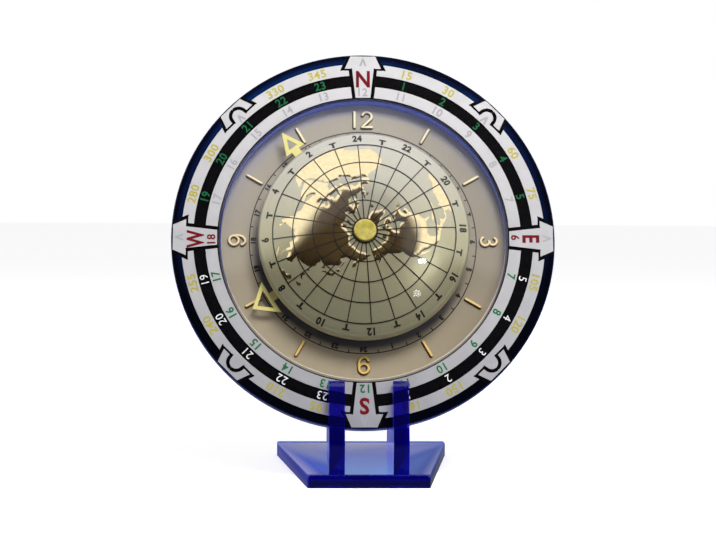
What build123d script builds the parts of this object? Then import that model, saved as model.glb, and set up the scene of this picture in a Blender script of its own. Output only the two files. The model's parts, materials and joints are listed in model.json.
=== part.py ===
from build123d import *
import os
from math import asin, cos, degrees, pi, radians, sin, sqrt

# World time clock: a round acrylic clock head that leans back in two slotted
# brackets on a flat base. Millimetres, +Z up, the dial faces -Y, +X is to the right.
# The origin is the centre of the base's underside.

# Stand
base_depth = 111.4
base_front_width = 62.0
base_back_width = 94.4
base_back_land = 7.0
base_thickness = 7.0
base_corner_radius = 1.5
edge_break = 0.5
bracket_thickness = 8.0
bracket_spacing = 32.6
bracket_foot_depth = 66.0
bracket_bulge = 1.4
bracket_bulge_height = 15.0
finger_reach = 27.0
finger_depth = 8.2
finger_corner_radius = 3.4
rest_reach = 36.0
rest_depth = 8.6
rest_corner_radius = 3.0
rest_shoulder_height = 26.0
gusset_radius = 18.0
slot_clearance = 0.3
slot_corner_radius = 0.15

# Where the clock head stands, and how far it leans back; it stands a little left of the middle
lean = 15.4
head_left_shift = 2.1
ring_ground_gap = 18.0
head_setback = 36.0

# Bezel ring and its printed scale
ring_outer_radius = 100.0
ring_width = 24.3
ring_thickness = 8.0
ring_edge_break = 0.5
scale_thickness = 0.4
scale_rim_margin = 0.5
track_thickness = 0.2
dark_rim_width = 5.25
outer_track_width = 6.25
dark_track_width = 6.25
inner_track_width = 6.15
compass_point_count = 4
tab_angle = 45.0
arrow_head_margin = 1.0
arrow_head_length = 6.8
arrow_head_width = 14.0
arrow_shoulder_width = 20.0
arrow_shaft_width = 12.3
arrow_foot_width = 8.6
arrow_outline = 1.1
tab_head_width = 14.8
tab_foot_width = 19.6
arch_width = 9.6
arch_splay = 0.6
arch_margin = 2.5
arch_line = 1.1

# Dial, its markers and its screws
dial_overlap = 10.3
dial_thickness = 1.2
dial_hole_clearance = 0.1
marker_thickness = 1.4
numeral_height = 10.2
numeral_stroke = 1.9
numeral_margin = 9.9
numeral_one_shift = -4.4
numeral_two_shift = 2.2
numeral_bowl_radius = 2.45
three_upper_radius = 1.9
two_hook_start = 160.0
two_hook_sweep = 195.0
three_bow_start = 150.0
three_bow_sweep = 240.0
hour_step = 30.0
quarter_turn = 90.0
bar_length = 10.5
bar_margin = 4.7
bar_width = 1.7
dial_screw_count = 6
dial_screw_margin = 5.3
dial_screw_radius = 1.25
dial_screw_depth = 5.0
dial_screw_head_radius = 2.3
dial_screw_head_height = 1.3
screw_slot_width = 0.6
screw_slot_depth = 0.6

# Domed crystal
crystal_wall = 1.5
crystal_clearance = 0.2
crystal_crown_height = 19.6

# World disc, its hub and its nut
disc_margin = 20.9
disc_sheet = 0.8
disc_crown_height = 15.7
disc_flat_radius = 7.0
disc_crown_radius = 430.0
disc_crown_reach = 20.0
disc_rim_radius = 3.0
disc_rim_level = 4.7
disc_skirt = 0.8
disc_washer_radius = 6.7
disc_washer_thickness = 0.3
disc_stud_radius = 1.6
centre_nut_radius = 5.8
centre_nut_height = 2.3
centre_nut_round = 1.0
centre_nut_wall = 0.6
hub_flange_radius = 6.4
hub_flange_thickness = 1.4
hub_barrel_radius = 3.0
hub_barrel_length = 8.6

# Hands, set to about six minutes to eight; clockwise angles from 12
hour_hand_angle = 236.9
minute_hand_angle = 322.8
hand_sheet = 0.8
hand_arm_width = 4.7
hand_frame_width = 2.1
hour_hand_level = 5.2
hour_head_gap = 2.0
hour_head_length = 11.9
hour_head_width = 19.4
minute_hand_level = 7.8
minute_head_gap = 3.9
minute_head_length = 12.4
minute_head_width = 11.9
collet_wall = 1.6
collet_length = 1.9

# Arbor stack at the centre
day_arbor_radius = 0.8
pipe_wall = 0.65
running_clearance = 0.05
seat_gap = 0.05

# Movement case, its cover and its fixing parts
case_rise = 28.0
case_depth = 14.6
case_wall = 1.4
case_corner_radius = 3.0
cover_thickness = 1.4
gasket_thickness = 1.0
gasket_radius = 9.0
bush_radius = 4.0
bush_length = 5.6
dial_washer_thickness = 0.5
dial_washer_radius = 7.4
fixing_nut_width = 12.0
fixing_nut_sides = 6
fixing_nut_thickness = 2.2
gear_bay_drop = 9.9
bay_clearance = 0.55
boss_wall = 1.0
boss_gap = 1.5
pivot_depth = 0.8
end_shake = 0.1

# Battery, its contacts and the set knob
battery_radius = 7.1
battery_length = 49.2
battery_button_radius = 2.7
battery_button_length = 1.3
battery_clearance = 0.3
contact_space = 1.35
contact_sheet = 0.4
contact_size = 9.0
contact_bump_radius = 2.2
knob_radius = 6.5
knob_height = 4.0
knob_flutes = 20
knob_flute_radius = 0.7
knob_standoff = 0.6
knob_socket_depth = 2.0

# Motion work: wheels, pinions and where their arbors stand
tooth_module = 0.5
tooth_tip_reach = 0.4
tooth_root_depth = 0.575
tooth_tip_share = 0.10
tooth_root_share = 0.27
wheel_thickness = 0.9
wheel_gap = 0.4
side_arbor_radius = 0.6
setting_direction = 35.0
idler_direction = 145.0
minute_pinion_teeth = 10
setting_wheel_teeth = 30
setting_pinion_teeth = 8
hour_wheel_teeth = 32
hour_pinion_teeth = 24
idler_wheel_teeth = 24
idler_pinion_teeth = 16
day_wheel_teeth = 32
clutch_wheel_radius = 8.6
wheel_layers = 5

# Electrics inside the case
board_length = 22.0
board_width = 9.0
board_thickness = 1.0
board_side_margin = 3.1
board_top_margin = 1.6
chip_radius = 3.0
chip_height = 1.0
coil_side_margin = 4.1
coil_top_margin = 1.3
coil_length = 13.0
coil_radius = 3.0
cheek_radius = 3.8
cheek_thickness = 1.0
core_width = 2.0
core_length = 17.0

# Cuts run past the faces that they open by this much
overrun = 1.0

# Places on the leaning head
head_y = head_setback - base_depth / 2
head_z = base_thickness + ring_ground_gap + ring_outer_radius
up_y = sin(radians(lean))
up_z = cos(radians(lean))
head_centre = (-head_left_shift, head_y, head_z)
head = Plane(origin=head_centre, x_dir=(1, 0, 0), z_dir=(0, -up_z, up_y))
section_plane = Plane(origin=head_centre, x_dir=(1, 0, 0), z_dir=(0, -up_y, -up_z))
head_axis = Axis(head_centre, (0, -up_z, up_y))

# Radii on the ring, from its rim inwards
outer_track_outer_radius = ring_outer_radius - dark_rim_width
outer_track_inner_radius = outer_track_outer_radius - outer_track_width
inner_track_outer_radius = outer_track_inner_radius - dark_track_width
inner_track_inner_radius = inner_track_outer_radius - inner_track_width
arrow_head_radius = ring_outer_radius - arrow_head_margin
arrow_shoulder_radius = arrow_head_radius - arrow_head_length
arch_top_radius = ring_outer_radius - arch_margin
arch_foot_radius = arrow_shoulder_radius - 2 * arrow_outline

# Radii on the dial, from the ring's opening
ring_opening_radius = ring_outer_radius - ring_width
dial_radius = ring_opening_radius + dial_overlap
dial_screw_circle = ring_opening_radius + dial_screw_margin
numeral_radius = ring_opening_radius - numeral_margin
bar_middle = ring_opening_radius - bar_margin - bar_length / 2
disc_outer_radius = ring_opening_radius - disc_margin

# Levels along the head's axis, counted from the front of the printed tracks
scale_face = -track_thickness
ring_face = scale_face - scale_thickness
dial_face = ring_face - ring_thickness
dial_back = dial_face - dial_thickness
case_face = dial_back - gasket_thickness
case_floor = case_face - case_wall
case_back = case_face - case_depth
cover_back = case_back - cover_thickness

# Radii of the nested pipes and bores at the centre
minute_bore = day_arbor_radius + running_clearance
minute_pipe = minute_bore + pipe_wall
hour_bore = minute_pipe + running_clearance
hour_pipe = hour_bore + pipe_wall
bush_bore = hour_pipe + running_clearance


def at_head(place, height, turn=0.0):
    """Plane across the head's axis, centred on a place of the head, turned clockwise from the front."""
    centre = head.from_local_coords(Vector(place[0], place[1], height))
    across = head.x_dir * cos(radians(turn)) - head.y_dir * sin(radians(turn))
    return Plane(origin=centre, x_dir=across, z_dir=head.z_dir)


def on_head(height, turn=0.0):
    """Plane across the head's axis, centred on the axis."""
    return at_head((0, 0), height, turn)


def head_side(up, out):
    """Point of the head's side view, as depth and height."""
    return (head_y + up * up_y - out * up_z, head_z + up * up_z + out * up_y)


def finish(part, name):
    """Names a finished piece and writes it."""
    part.label = name
    export_step(part, "parts/" + name + ".step")


os.makedirs("parts", exist_ok=True)

# Base plate: narrow in front, wide behind, with a short straight land at the back
half_front = base_front_width / 2
half_back = base_back_width / 2
front_y = -base_depth / 2
back_y = base_depth / 2
land_y = back_y - base_back_land
with BuildPart() as base_plate:
    with BuildSketch():
        Polygon(
            (-half_front, front_y),
            (half_front, front_y),
            (half_back, land_y),
            (half_back, back_y),
            (-half_back, back_y),
            (-half_back, land_y),
            align=None,
        )
    extrude(amount=base_thickness)
    fillet(base_plate.edges().filter_by(Axis.Z), radius=base_corner_radius)
    chamfer(base_plate.faces().sort_by(Axis.Z)[-1].edges(), length=edge_break)
finish(base_plate.part, "base_plate")

# Brackets: a finger in front of the rim, a slot under it and a rest behind it,
# which steps back to clear the dial plate
half_spacing = bracket_spacing / 2
slot_half_width = half_spacing - bracket_thickness / 2 - head_left_shift
slot_floor = -sqrt(ring_outer_radius**2 - slot_half_width**2) - slot_clearance
slot_front = slot_clearance
slot_back = dial_face - slot_clearance
step_up = -dial_radius - edge_break
step_back = dial_back - slot_clearance
finger_up = slot_floor + finger_reach
rest_up = slot_floor + rest_reach
foot_back_y = front_y + bracket_foot_depth
bracket_corners = [
    ((front_y, base_thickness), 0),
    ((front_y - bracket_bulge, base_thickness + bracket_bulge_height), gusset_radius),
    (head_side(finger_up, slot_front + finger_depth), finger_corner_radius),
    (head_side(finger_up, slot_front), finger_corner_radius),
    (head_side(slot_floor, slot_front), slot_corner_radius),
    (head_side(slot_floor, slot_back), slot_corner_radius),
    (head_side(step_up, slot_back), 0),
    (head_side(step_up, step_back), 0),
    (head_side(rest_up, step_back), rest_corner_radius),
    (head_side(rest_up, step_back - rest_depth), rest_corner_radius),
    ((foot_back_y, base_thickness + rest_shoulder_height), gusset_radius),
    ((foot_back_y, base_thickness), 0),
]


def make_bracket(centre_x, name):
    """One upright, cut from sheet."""
    with BuildPart() as bracket:
        with BuildSketch(Plane.YZ.offset(centre_x - bracket_thickness / 2)):
            with BuildLine():
                points = [corner[0] for corner in bracket_corners]
                radii = [corner[1] for corner in bracket_corners]
                FilletPolyline(*points, radius=radii, close=True)
            make_face()
        extrude(amount=bracket_thickness)
    finish(bracket.part, name)


make_bracket(-half_spacing, "bracket_left")
make_bracket(half_spacing, "bracket_right")

# Bezel ring: clear blue annulus with blind screw holes in its back
with BuildPart() as bezel_ring:
    with BuildSketch(on_head(dial_face)):
        Circle(ring_outer_radius)
        Circle(ring_opening_radius, mode=Mode.SUBTRACT)
    extrude(amount=ring_thickness)
    rim_edges = bezel_ring.edges().filter_by(GeomType.CIRCLE).group_by(SortBy.RADIUS)[-1]
    chamfer(rim_edges, length=ring_edge_break)
    with BuildSketch(on_head(dial_face)):
        with PolarLocations(dial_screw_circle, dial_screw_count):
            Circle(dial_screw_radius + running_clearance)
    extrude(amount=dial_screw_depth + end_shake, mode=Mode.SUBTRACT)
finish(bezel_ring.part, "bezel_ring")

# Printed scale: a dark plate on the ring
with BuildPart() as scale_plate:
    with BuildSketch(on_head(ring_face)):
        Circle(ring_outer_radius - scale_rim_margin)
        Circle(ring_opening_radius, mode=Mode.SUBTRACT)
    extrude(amount=scale_thickness)
finish(scale_plate.part, "scale_plate")

# Shapes of the pale tracks: compass arrows, and tabs that stand astride an arch
with BuildSketch() as arrow:
    Polygon(
        (-arrow_foot_width / 2, inner_track_inner_radius),
        (arrow_foot_width / 2, inner_track_inner_radius),
        (arrow_shaft_width / 2, arrow_shoulder_radius),
        (arrow_shoulder_width / 2, arrow_shoulder_radius),
        (arrow_head_width / 2, arrow_head_radius),
        (-arrow_head_width / 2, arrow_head_radius),
        (-arrow_shoulder_width / 2, arrow_shoulder_radius),
        (-arrow_shaft_width / 2, arrow_shoulder_radius),
        align=None,
    )
with BuildSketch() as arrow_gap:
    add(arrow.sketch)
    offset(amount=arrow_outline, kind=Kind.INTERSECTION)
with BuildSketch() as tab_plate:
    Polygon(
        (-tab_foot_width / 2, arrow_shoulder_radius),
        (tab_foot_width / 2, arrow_shoulder_radius),
        (tab_head_width / 2, arrow_head_radius),
        (-tab_head_width / 2, arrow_head_radius),
        align=None,
    )
with BuildSketch() as tab_gap:
    add(tab_plate.sketch)
    offset(amount=arrow_outline, kind=Kind.INTERSECTION)


def arch_outline(half_width, top):
    """Closed outline of an arch on two legs that spread a little and run in past the tab's foot."""
    spring = arch_top_radius - arch_width / 2
    half_foot = half_width + arch_splay
    with BuildLine() as outline:
        left_leg = Line((-half_foot, arch_foot_radius), (-half_width, spring))
        crown = ThreePointArc(left_leg @ 1, (0, top), (half_width, spring))
        right_leg = Line(crown @ 1, (half_foot, arch_foot_radius))
        Line(right_leg @ 1, left_leg @ 0)
    return outline.line


with BuildSketch() as tab:
    add(tab_plate.sketch)
    make_face(arch_outline(arch_width / 2, arch_top_radius).edges(), mode=Mode.SUBTRACT)
with BuildSketch() as arch_opening:
    make_face(arch_outline(arch_width / 2 - arch_line, arch_top_radius - arch_line).edges())

# Pale tracks on the scale
with BuildPart() as scale_tracks:
    with BuildSketch(on_head(scale_face)):
        Circle(outer_track_outer_radius)
        Circle(outer_track_inner_radius, mode=Mode.SUBTRACT)
        Circle(inner_track_outer_radius)
        Circle(inner_track_inner_radius, mode=Mode.SUBTRACT)
        with PolarLocations(0, compass_point_count):
            add(arrow_gap.sketch, mode=Mode.SUBTRACT)
            add(arrow.sketch)
        with PolarLocations(0, compass_point_count, start_angle=tab_angle):
            add(tab_gap.sketch, mode=Mode.SUBTRACT)
            add(tab.sketch)
            add(arch_opening.sketch)
    extrude(amount=track_thickness)
finish(scale_tracks.part, "scale_tracks")

# Dial plate
with BuildPart() as dial_plate:
    with BuildSketch(on_head(dial_back)):
        Circle(dial_radius)
        Circle(bush_radius + dial_hole_clearance, mode=Mode.SUBTRACT)
        with PolarLocations(dial_screw_circle, dial_screw_count):
            Circle(dial_screw_radius + dial_hole_clearance, mode=Mode.SUBTRACT)
    extrude(amount=dial_thickness)
finish(dial_plate.part, "dial_plate")

# Screws that hold the dial plate to the ring
with BuildPart() as dial_screws:
    with BuildSketch(on_head(dial_back)):
        with PolarLocations(dial_screw_circle, dial_screw_count):
            Circle(dial_screw_head_radius)
    extrude(amount=-dial_screw_head_height)
    with BuildSketch(on_head(dial_back)):
        with PolarLocations(dial_screw_circle, dial_screw_count):
            Circle(dial_screw_radius)
    extrude(amount=dial_thickness + dial_screw_depth)
    with BuildSketch(on_head(dial_back - dial_screw_head_height)):
        with PolarLocations(dial_screw_circle, dial_screw_count):
            Rectangle(2 * dial_screw_head_radius + overrun, screw_slot_width)
    extrude(amount=screw_slot_depth, mode=Mode.SUBTRACT)
finish(dial_screws.part, "dial_screws")

# Applied numerals: round strokes, each digit built about its own middle
half_stroke = (numeral_height - numeral_stroke) / 2
three_lower_radius = half_stroke - three_upper_radius
bowl_middle = numeral_bowl_radius - half_stroke

with BuildSketch() as digit_one:
    SlotOverall(numeral_height, numeral_stroke, rotation=quarter_turn)

with BuildLine() as two_hook:
    bow = CenterArc((0, -bowl_middle), numeral_bowl_radius, two_hook_start, -two_hook_sweep)
    Line(bow @ 1, (-numeral_bowl_radius, -half_stroke))
with BuildSketch() as digit_two:
    SlotArc(two_hook.wire(), numeral_stroke)
    with Locations((0, -half_stroke)):
        SlotCenterToCenter(2 * numeral_bowl_radius, numeral_stroke)

with BuildLine() as upper_bow:
    upper_middle = (0, half_stroke - three_upper_radius)
    CenterArc(upper_middle, three_upper_radius, three_bow_start, -three_bow_sweep)
with BuildLine() as lower_bow:
    lower_middle = (0, three_lower_radius - half_stroke)
    CenterArc(lower_middle, three_lower_radius, -three_bow_start, three_bow_sweep)
with BuildSketch() as digit_three:
    SlotArc(upper_bow.wire(), numeral_stroke)
    SlotArc(lower_bow.wire(), numeral_stroke)

with BuildLine() as six_neck:
    TangentArc((-numeral_bowl_radius, bowl_middle), (numeral_bowl_radius / 2, half_stroke), tangent=(0, 1))
with BuildSketch() as digit_six:
    with Locations((0, bowl_middle)):
        Circle(numeral_bowl_radius + numeral_stroke / 2)
    SlotArc(six_neck.wire(), numeral_stroke)
    with Locations((0, bowl_middle)):
        Circle(numeral_bowl_radius - numeral_stroke / 2, mode=Mode.SUBTRACT)


def make_numeral(name, digits, place, turn):
    """Raises digits from the dial; digits holds pairs of a sketch and its sideways place."""
    with BuildPart() as numeral:
        with BuildSketch(at_head(place, dial_face, turn)):
            for digit, sideways in digits:
                with Locations((sideways, 0)):
                    add(digit.sketch)
        extrude(amount=marker_thickness)
    finish(numeral.part, name)


twelve = [(digit_one, numeral_one_shift), (digit_two, numeral_two_shift)]
make_numeral("numeral_12", twelve, (0, numeral_radius), 0)
make_numeral("numeral_3", [(digit_three, 0)], (numeral_radius, 0), quarter_turn)
make_numeral("numeral_6", [(digit_six, 0)], (0, -numeral_radius), 0)
make_numeral("numeral_9", [(digit_six, 0)], (-numeral_radius, 0), quarter_turn)

# Applied bars at the other eight hours, two in each quarter
with BuildPart() as hour_bars:
    with BuildSketch(on_head(dial_face)):
        for quarter in range(compass_point_count):
            first_bar = hour_step + quarter_turn * quarter
            with PolarLocations(bar_middle, 2, first_bar, hour_step, endpoint=True):
                SlotOverall(bar_length, bar_width)
    extrude(amount=marker_thickness)
finish(hour_bars.part, "hour_bars")

# Domed crystal: a straight skirt in the ring's opening under a shallow dome
crystal_radius = ring_opening_radius - crystal_clearance
crystal_bore = crystal_radius - crystal_wall
with BuildPart() as crystal:
    with BuildSketch(section_plane):
        with BuildLine():
            outer_skirt = Line((crystal_radius, dial_face), (crystal_radius, 0))
            crown = (0, crystal_crown_height + crystal_wall)
            outer_dome = TangentArc(crown, outer_skirt @ 1, tangent=(1, 0))
            Line(outer_dome @ 0, (0, crystal_crown_height))
            inner_dome = TangentArc((0, crystal_crown_height), (crystal_bore, 0), tangent=(1, 0))
            inner_skirt = Line(inner_dome @ 1, (crystal_bore, dial_face))
            Line(inner_skirt @ 1, outer_skirt @ 0)
        make_face()
    revolve(axis=head_axis)
finish(crystal.part, "crystal")

# World disc: a pressed dome whose rim turns down; its profile is three tangent arcs.
# The shoulder's radius is the one that starts on the crown's end and ends on the rim's arc.
crown_turn = asin((disc_crown_reach - disc_flat_radius) / disc_crown_radius)
crown_middle = (disc_flat_radius, disc_crown_height - disc_crown_radius)
rim_middle = (disc_outer_radius - disc_rim_radius, disc_rim_level)
crown_end_across = crown_middle[0] + disc_crown_radius * sin(crown_turn)
crown_end_up = crown_middle[1] + disc_crown_radius * cos(crown_turn)
across_to_rim = rim_middle[0] - crown_end_across
up_to_rim = rim_middle[1] - crown_end_up
rim_distance = disc_rim_radius + across_to_rim * sin(crown_turn) + up_to_rim * cos(crown_turn)
shoulder_radius = (disc_rim_radius**2 - across_to_rim**2 - up_to_rim**2) / (2 * rim_distance)
shoulder_middle = (
    crown_end_across - shoulder_radius * sin(crown_turn),
    crown_end_up - shoulder_radius * cos(crown_turn),
)
shoulder_turn = asin((rim_middle[0] - shoulder_middle[0]) / (shoulder_radius - disc_rim_radius))


def dome_side(inset):
    """Profile of one side of the sheet, from the flat middle out to the skirt's edge."""
    crown_start = degrees(pi / 2)
    crown_end = degrees(pi / 2 - crown_turn)
    shoulder_end = degrees(pi / 2 - shoulder_turn)
    with BuildLine() as side:
        crown_arc = CenterArc(crown_middle, disc_crown_radius - inset, crown_start, crown_end - crown_start)
        Line((disc_stud_radius + seat_gap, disc_crown_height - inset), crown_arc @ 0)
        CenterArc(shoulder_middle, shoulder_radius - inset, crown_end, shoulder_end - crown_end)
        rim_arc = CenterArc(rim_middle, disc_rim_radius - inset, shoulder_end, -shoulder_end)
        Line(rim_arc @ 1, (disc_outer_radius - inset, rim_middle[1] - disc_skirt))
    return side.line


skirt_edge = rim_middle[1] - disc_skirt
stud_hole = disc_stud_radius + seat_gap
with BuildPart() as world_disc:
    with BuildSketch(section_plane):
        with BuildLine():
            add(dome_side(0))
            add(dome_side(disc_sheet))
            Line((disc_outer_radius, skirt_edge), (disc_outer_radius - disc_sheet, skirt_edge))
            Line((stud_hole, disc_crown_height), (stud_hole, disc_crown_height - disc_sheet))
        make_face()
    revolve(axis=head_axis)
finish(world_disc.part, "world_disc")

# Hub under the world disc, with the stud that passes up through the sheet
disc_underside = disc_crown_height - disc_sheet
hub_foot = disc_underside - hub_flange_thickness - hub_barrel_length
washer_top = disc_crown_height + disc_washer_thickness
stud_top = washer_top + centre_nut_height - centre_nut_wall - end_shake
with BuildPart() as disc_hub:
    with BuildSketch(on_head(disc_underside)):
        Circle(hub_flange_radius)
    extrude(amount=-hub_flange_thickness)
    with BuildSketch(on_head(hub_foot)):
        Circle(hub_barrel_radius)
    extrude(amount=hub_barrel_length)
    with BuildSketch(on_head(disc_underside)):
        Circle(disc_stud_radius)
    extrude(amount=stud_top - disc_underside)
    with BuildSketch(on_head(hub_foot)):
        Circle(day_arbor_radius + seat_gap)
    extrude(amount=hub_barrel_length, mode=Mode.SUBTRACT)
finish(disc_hub.part, "disc_hub")

# Black washer and brass cap nut on the stud
with BuildPart() as disc_washer:
    with BuildSketch(on_head(disc_crown_height)):
        Circle(disc_washer_radius)
        Circle(disc_stud_radius + seat_gap, mode=Mode.SUBTRACT)
    extrude(amount=disc_washer_thickness)
finish(disc_washer.part, "disc_washer")

with BuildPart() as centre_nut:
    with BuildSketch(on_head(washer_top)):
        Circle(centre_nut_radius)
    extrude(amount=centre_nut_height)
    fillet(centre_nut.faces().sort_by(head_axis)[-1].edges(), radius=centre_nut_round)
    with BuildSketch(on_head(washer_top)):
        Circle(disc_stud_radius + seat_gap)
    extrude(amount=centre_nut_height - centre_nut_wall, mode=Mode.SUBTRACT)
finish(centre_nut.part, "centre_nut")


def make_hand(name, angle, level, bore, base_radius, length, width):
    """Sheet hand: an open triangle on an arm, with a collet that grips its pipe."""
    sheet_back = dial_face + level
    with BuildPart() as hand:
        with BuildSketch(on_head(sheet_back, angle)):
            with BuildSketch(mode=Mode.PRIVATE) as triangle:
                tip = (0, base_radius + length)
                Polygon((-width / 2, base_radius), (width / 2, base_radius), tip, align=None)
            with BuildSketch(mode=Mode.PRIVATE) as window:
                add(triangle.sketch)
                offset(amount=-hand_frame_width, kind=Kind.INTERSECTION)
            add(triangle.sketch)
            add(window.sketch, mode=Mode.SUBTRACT)
            with Locations((0, base_radius / 2)):
                Rectangle(hand_arm_width, base_radius + hand_frame_width)
            Circle(bore + collet_wall)
            Circle(bore, mode=Mode.SUBTRACT)
        extrude(amount=hand_sheet)
        with BuildSketch(on_head(sheet_back)):
            Circle(bore + collet_wall)
            Circle(bore, mode=Mode.SUBTRACT)
        extrude(amount=hand_sheet - collet_length)
    finish(hand.part, name)


make_hand(
    "hour_hand",
    hour_hand_angle,
    hour_hand_level,
    hour_pipe + seat_gap,
    disc_outer_radius + hour_head_gap,
    hour_head_length,
    hour_head_width,
)
make_hand(
    "minute_hand",
    minute_hand_angle,
    minute_hand_level,
    minute_pipe + seat_gap,
    disc_outer_radius + minute_head_gap,
    minute_head_length,
    minute_head_width,
)

# Movement case: an open box with a wall beside the battery bay and a threaded bush in front
battery_total = battery_length + battery_button_length
inner_half = battery_total / 2 + contact_space
case_width = 2 * (inner_half + case_wall)
bay_width = 2 * (battery_radius + bay_clearance)
bay_middle = -gear_bay_drop - case_wall - bay_width / 2
case_drop = gear_bay_drop + bay_width + 2 * case_wall
case_middle = (case_rise - case_drop) / 2
gear_bay_rise = case_rise - case_wall
gear_bay_middle = (gear_bay_rise - gear_bay_drop) / 2
setting_distance = tooth_module * (minute_pinion_teeth + setting_wheel_teeth) / 2
idler_distance = tooth_module * (hour_pinion_teeth + idler_wheel_teeth) / 2
setting_place = (
    setting_distance * cos(radians(setting_direction)),
    setting_distance * sin(radians(setting_direction)),
)
idler_place = (
    idler_distance * cos(radians(idler_direction)),
    idler_distance * sin(radians(idler_direction)),
)
pivot_bore = side_arbor_radius + running_clearance
with BuildPart() as movement_case:
    with BuildSketch(at_head((0, case_middle), case_back)):
        RectangleRounded(case_width, case_rise + case_drop, case_corner_radius)
    extrude(amount=case_depth)
    with BuildSketch(on_head(case_back)):
        with Locations((0, gear_bay_middle)):
            Rectangle(2 * inner_half, gear_bay_rise + gear_bay_drop)
        with Locations((0, bay_middle)):
            Rectangle(2 * inner_half, bay_width)
    extrude(amount=case_depth - case_wall, mode=Mode.SUBTRACT)
    with BuildSketch(on_head(case_face)):
        Circle(bush_radius)
    extrude(amount=bush_length)
    with BuildSketch(on_head(case_floor)):
        Circle(bush_bore)
    extrude(amount=case_wall + bush_length, mode=Mode.SUBTRACT)
    with BuildSketch(on_head(case_floor)):
        with Locations(setting_place, idler_place):
            Circle(pivot_bore)
    extrude(amount=pivot_depth, mode=Mode.SUBTRACT)
finish(movement_case.part, "movement_case")

# Rear cover of the gear bay, with bosses that carry the arbors' back ends
boss_length = case_depth - case_wall - wheel_layers * (wheel_thickness + wheel_gap) - boss_gap
with BuildPart() as movement_cover:
    with BuildSketch(at_head((0, case_middle), cover_back)):
        RectangleRounded(case_width, case_rise + case_drop, case_corner_radius)
        with Locations((0, bay_middle - case_middle - case_wall / 2)):
            Rectangle(case_width + overrun, bay_width + case_wall, mode=Mode.SUBTRACT)
    extrude(amount=cover_thickness)
    with BuildSketch(on_head(case_back)):
        Circle(minute_bore + boss_wall)
        with Locations(setting_place, idler_place):
            Circle(pivot_bore + boss_wall)
    extrude(amount=boss_length)
    with BuildSketch(on_head(case_back)):
        Circle(minute_bore)
        with Locations(idler_place):
            Circle(pivot_bore)
    extrude(amount=boss_length, mode=Mode.SUBTRACT)
    with BuildSketch(on_head(cover_back)):
        with Locations(setting_place):
            Circle(pivot_bore)
    extrude(amount=cover_thickness + boss_length, mode=Mode.SUBTRACT)
finish(movement_cover.part, "movement_cover")

# Fixing parts that clamp the dial to the movement
with BuildPart() as case_gasket:
    with BuildSketch(on_head(case_face)):
        Circle(gasket_radius)
        Circle(bush_radius + dial_hole_clearance, mode=Mode.SUBTRACT)
    extrude(amount=gasket_thickness)
finish(case_gasket.part, "case_gasket")

with BuildPart() as dial_washer:
    with BuildSketch(on_head(dial_face)):
        Circle(dial_washer_radius)
        Circle(bush_radius + dial_hole_clearance, mode=Mode.SUBTRACT)
    extrude(amount=dial_washer_thickness)
finish(dial_washer.part, "dial_washer")

with BuildPart() as fixing_nut:
    with BuildSketch(on_head(dial_face + dial_washer_thickness)):
        RegularPolygon(fixing_nut_width / 2, fixing_nut_sides, major_radius=False)
        Circle(bush_radius + running_clearance, mode=Mode.SUBTRACT)
    extrude(amount=fixing_nut_thickness)
finish(fixing_nut.part, "fixing_nut")


def layer_front(layer):
    """Front face of a wheel layer, counted back from the case's floor."""
    return case_floor - wheel_gap - layer * (wheel_thickness + wheel_gap)


def toothed_outline(teeth, turn=0.0):
    """Corners of a wheel with straight-flanked teeth, one of them centred on turn (radians)."""
    pitch_radius = tooth_module * teeth / 2
    root_radius = pitch_radius - tooth_root_depth
    tip_radius = pitch_radius + tooth_tip_reach
    corners = [
        (-tooth_root_share, root_radius),
        (-tooth_tip_share, tip_radius),
        (tooth_tip_share, tip_radius),
        (tooth_root_share, root_radius),
    ]
    points = []
    for tooth in range(teeth):
        for share, radius in corners:
            angle = turn + 2 * pi * (tooth + share) / teeth
            points.append((radius * cos(angle), radius * sin(angle)))
    return points


def mesh_turn(centre_teeth, side_teeth, direction):
    """Turn that puts a side wheel in mesh with a centre wheel whose tooth lies at 3 o'clock."""
    along = radians(direction)
    return along + pi + 2 * pi / side_teeth * (1 / 2 + along * centre_teeth / (2 * pi))


# Hour wheel: its driven rim, the smaller rim that drives the day idler, and its pipe
hour_sheet_front = dial_face + hour_hand_level + hand_sheet
hour_wheel_back = layer_front(1) - wheel_thickness
with BuildPart() as hour_wheel:
    with BuildSketch(on_head(layer_front(0))):
        Polygon(*toothed_outline(hour_wheel_teeth), align=None)
    extrude(amount=-wheel_thickness)
    with BuildSketch(on_head(layer_front(1))):
        Polygon(*toothed_outline(hour_pinion_teeth), align=None)
    extrude(amount=-wheel_thickness)
    with BuildSketch(on_head(hour_wheel_back)):
        Circle(hour_pipe)
    extrude(amount=hour_sheet_front - hour_wheel_back)
    with BuildSketch(on_head(hour_wheel_back)):
        Circle(hour_bore)
    extrude(amount=hour_sheet_front - hour_wheel_back, mode=Mode.SUBTRACT)
finish(hour_wheel.part, "hour_wheel")

# Minute pinion with its clutch wheel and pipe
minute_sheet_front = dial_face + minute_hand_level + hand_sheet
clutch_back = layer_front(3) - wheel_thickness
with BuildPart() as minute_pinion:
    with BuildSketch(on_head(layer_front(2))):
        Polygon(*toothed_outline(minute_pinion_teeth), align=None)
    extrude(amount=-wheel_thickness - wheel_gap)
    with BuildSketch(on_head(layer_front(3))):
        Circle(clutch_wheel_radius)
    extrude(amount=-wheel_thickness)
    with BuildSketch(on_head(clutch_back)):
        Circle(minute_pipe)
    extrude(amount=minute_sheet_front - clutch_back)
    with BuildSketch(on_head(clutch_back)):
        Circle(minute_bore)
    extrude(amount=minute_sheet_front - clutch_back, mode=Mode.SUBTRACT)
finish(minute_pinion.part, "minute_pinion")

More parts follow.
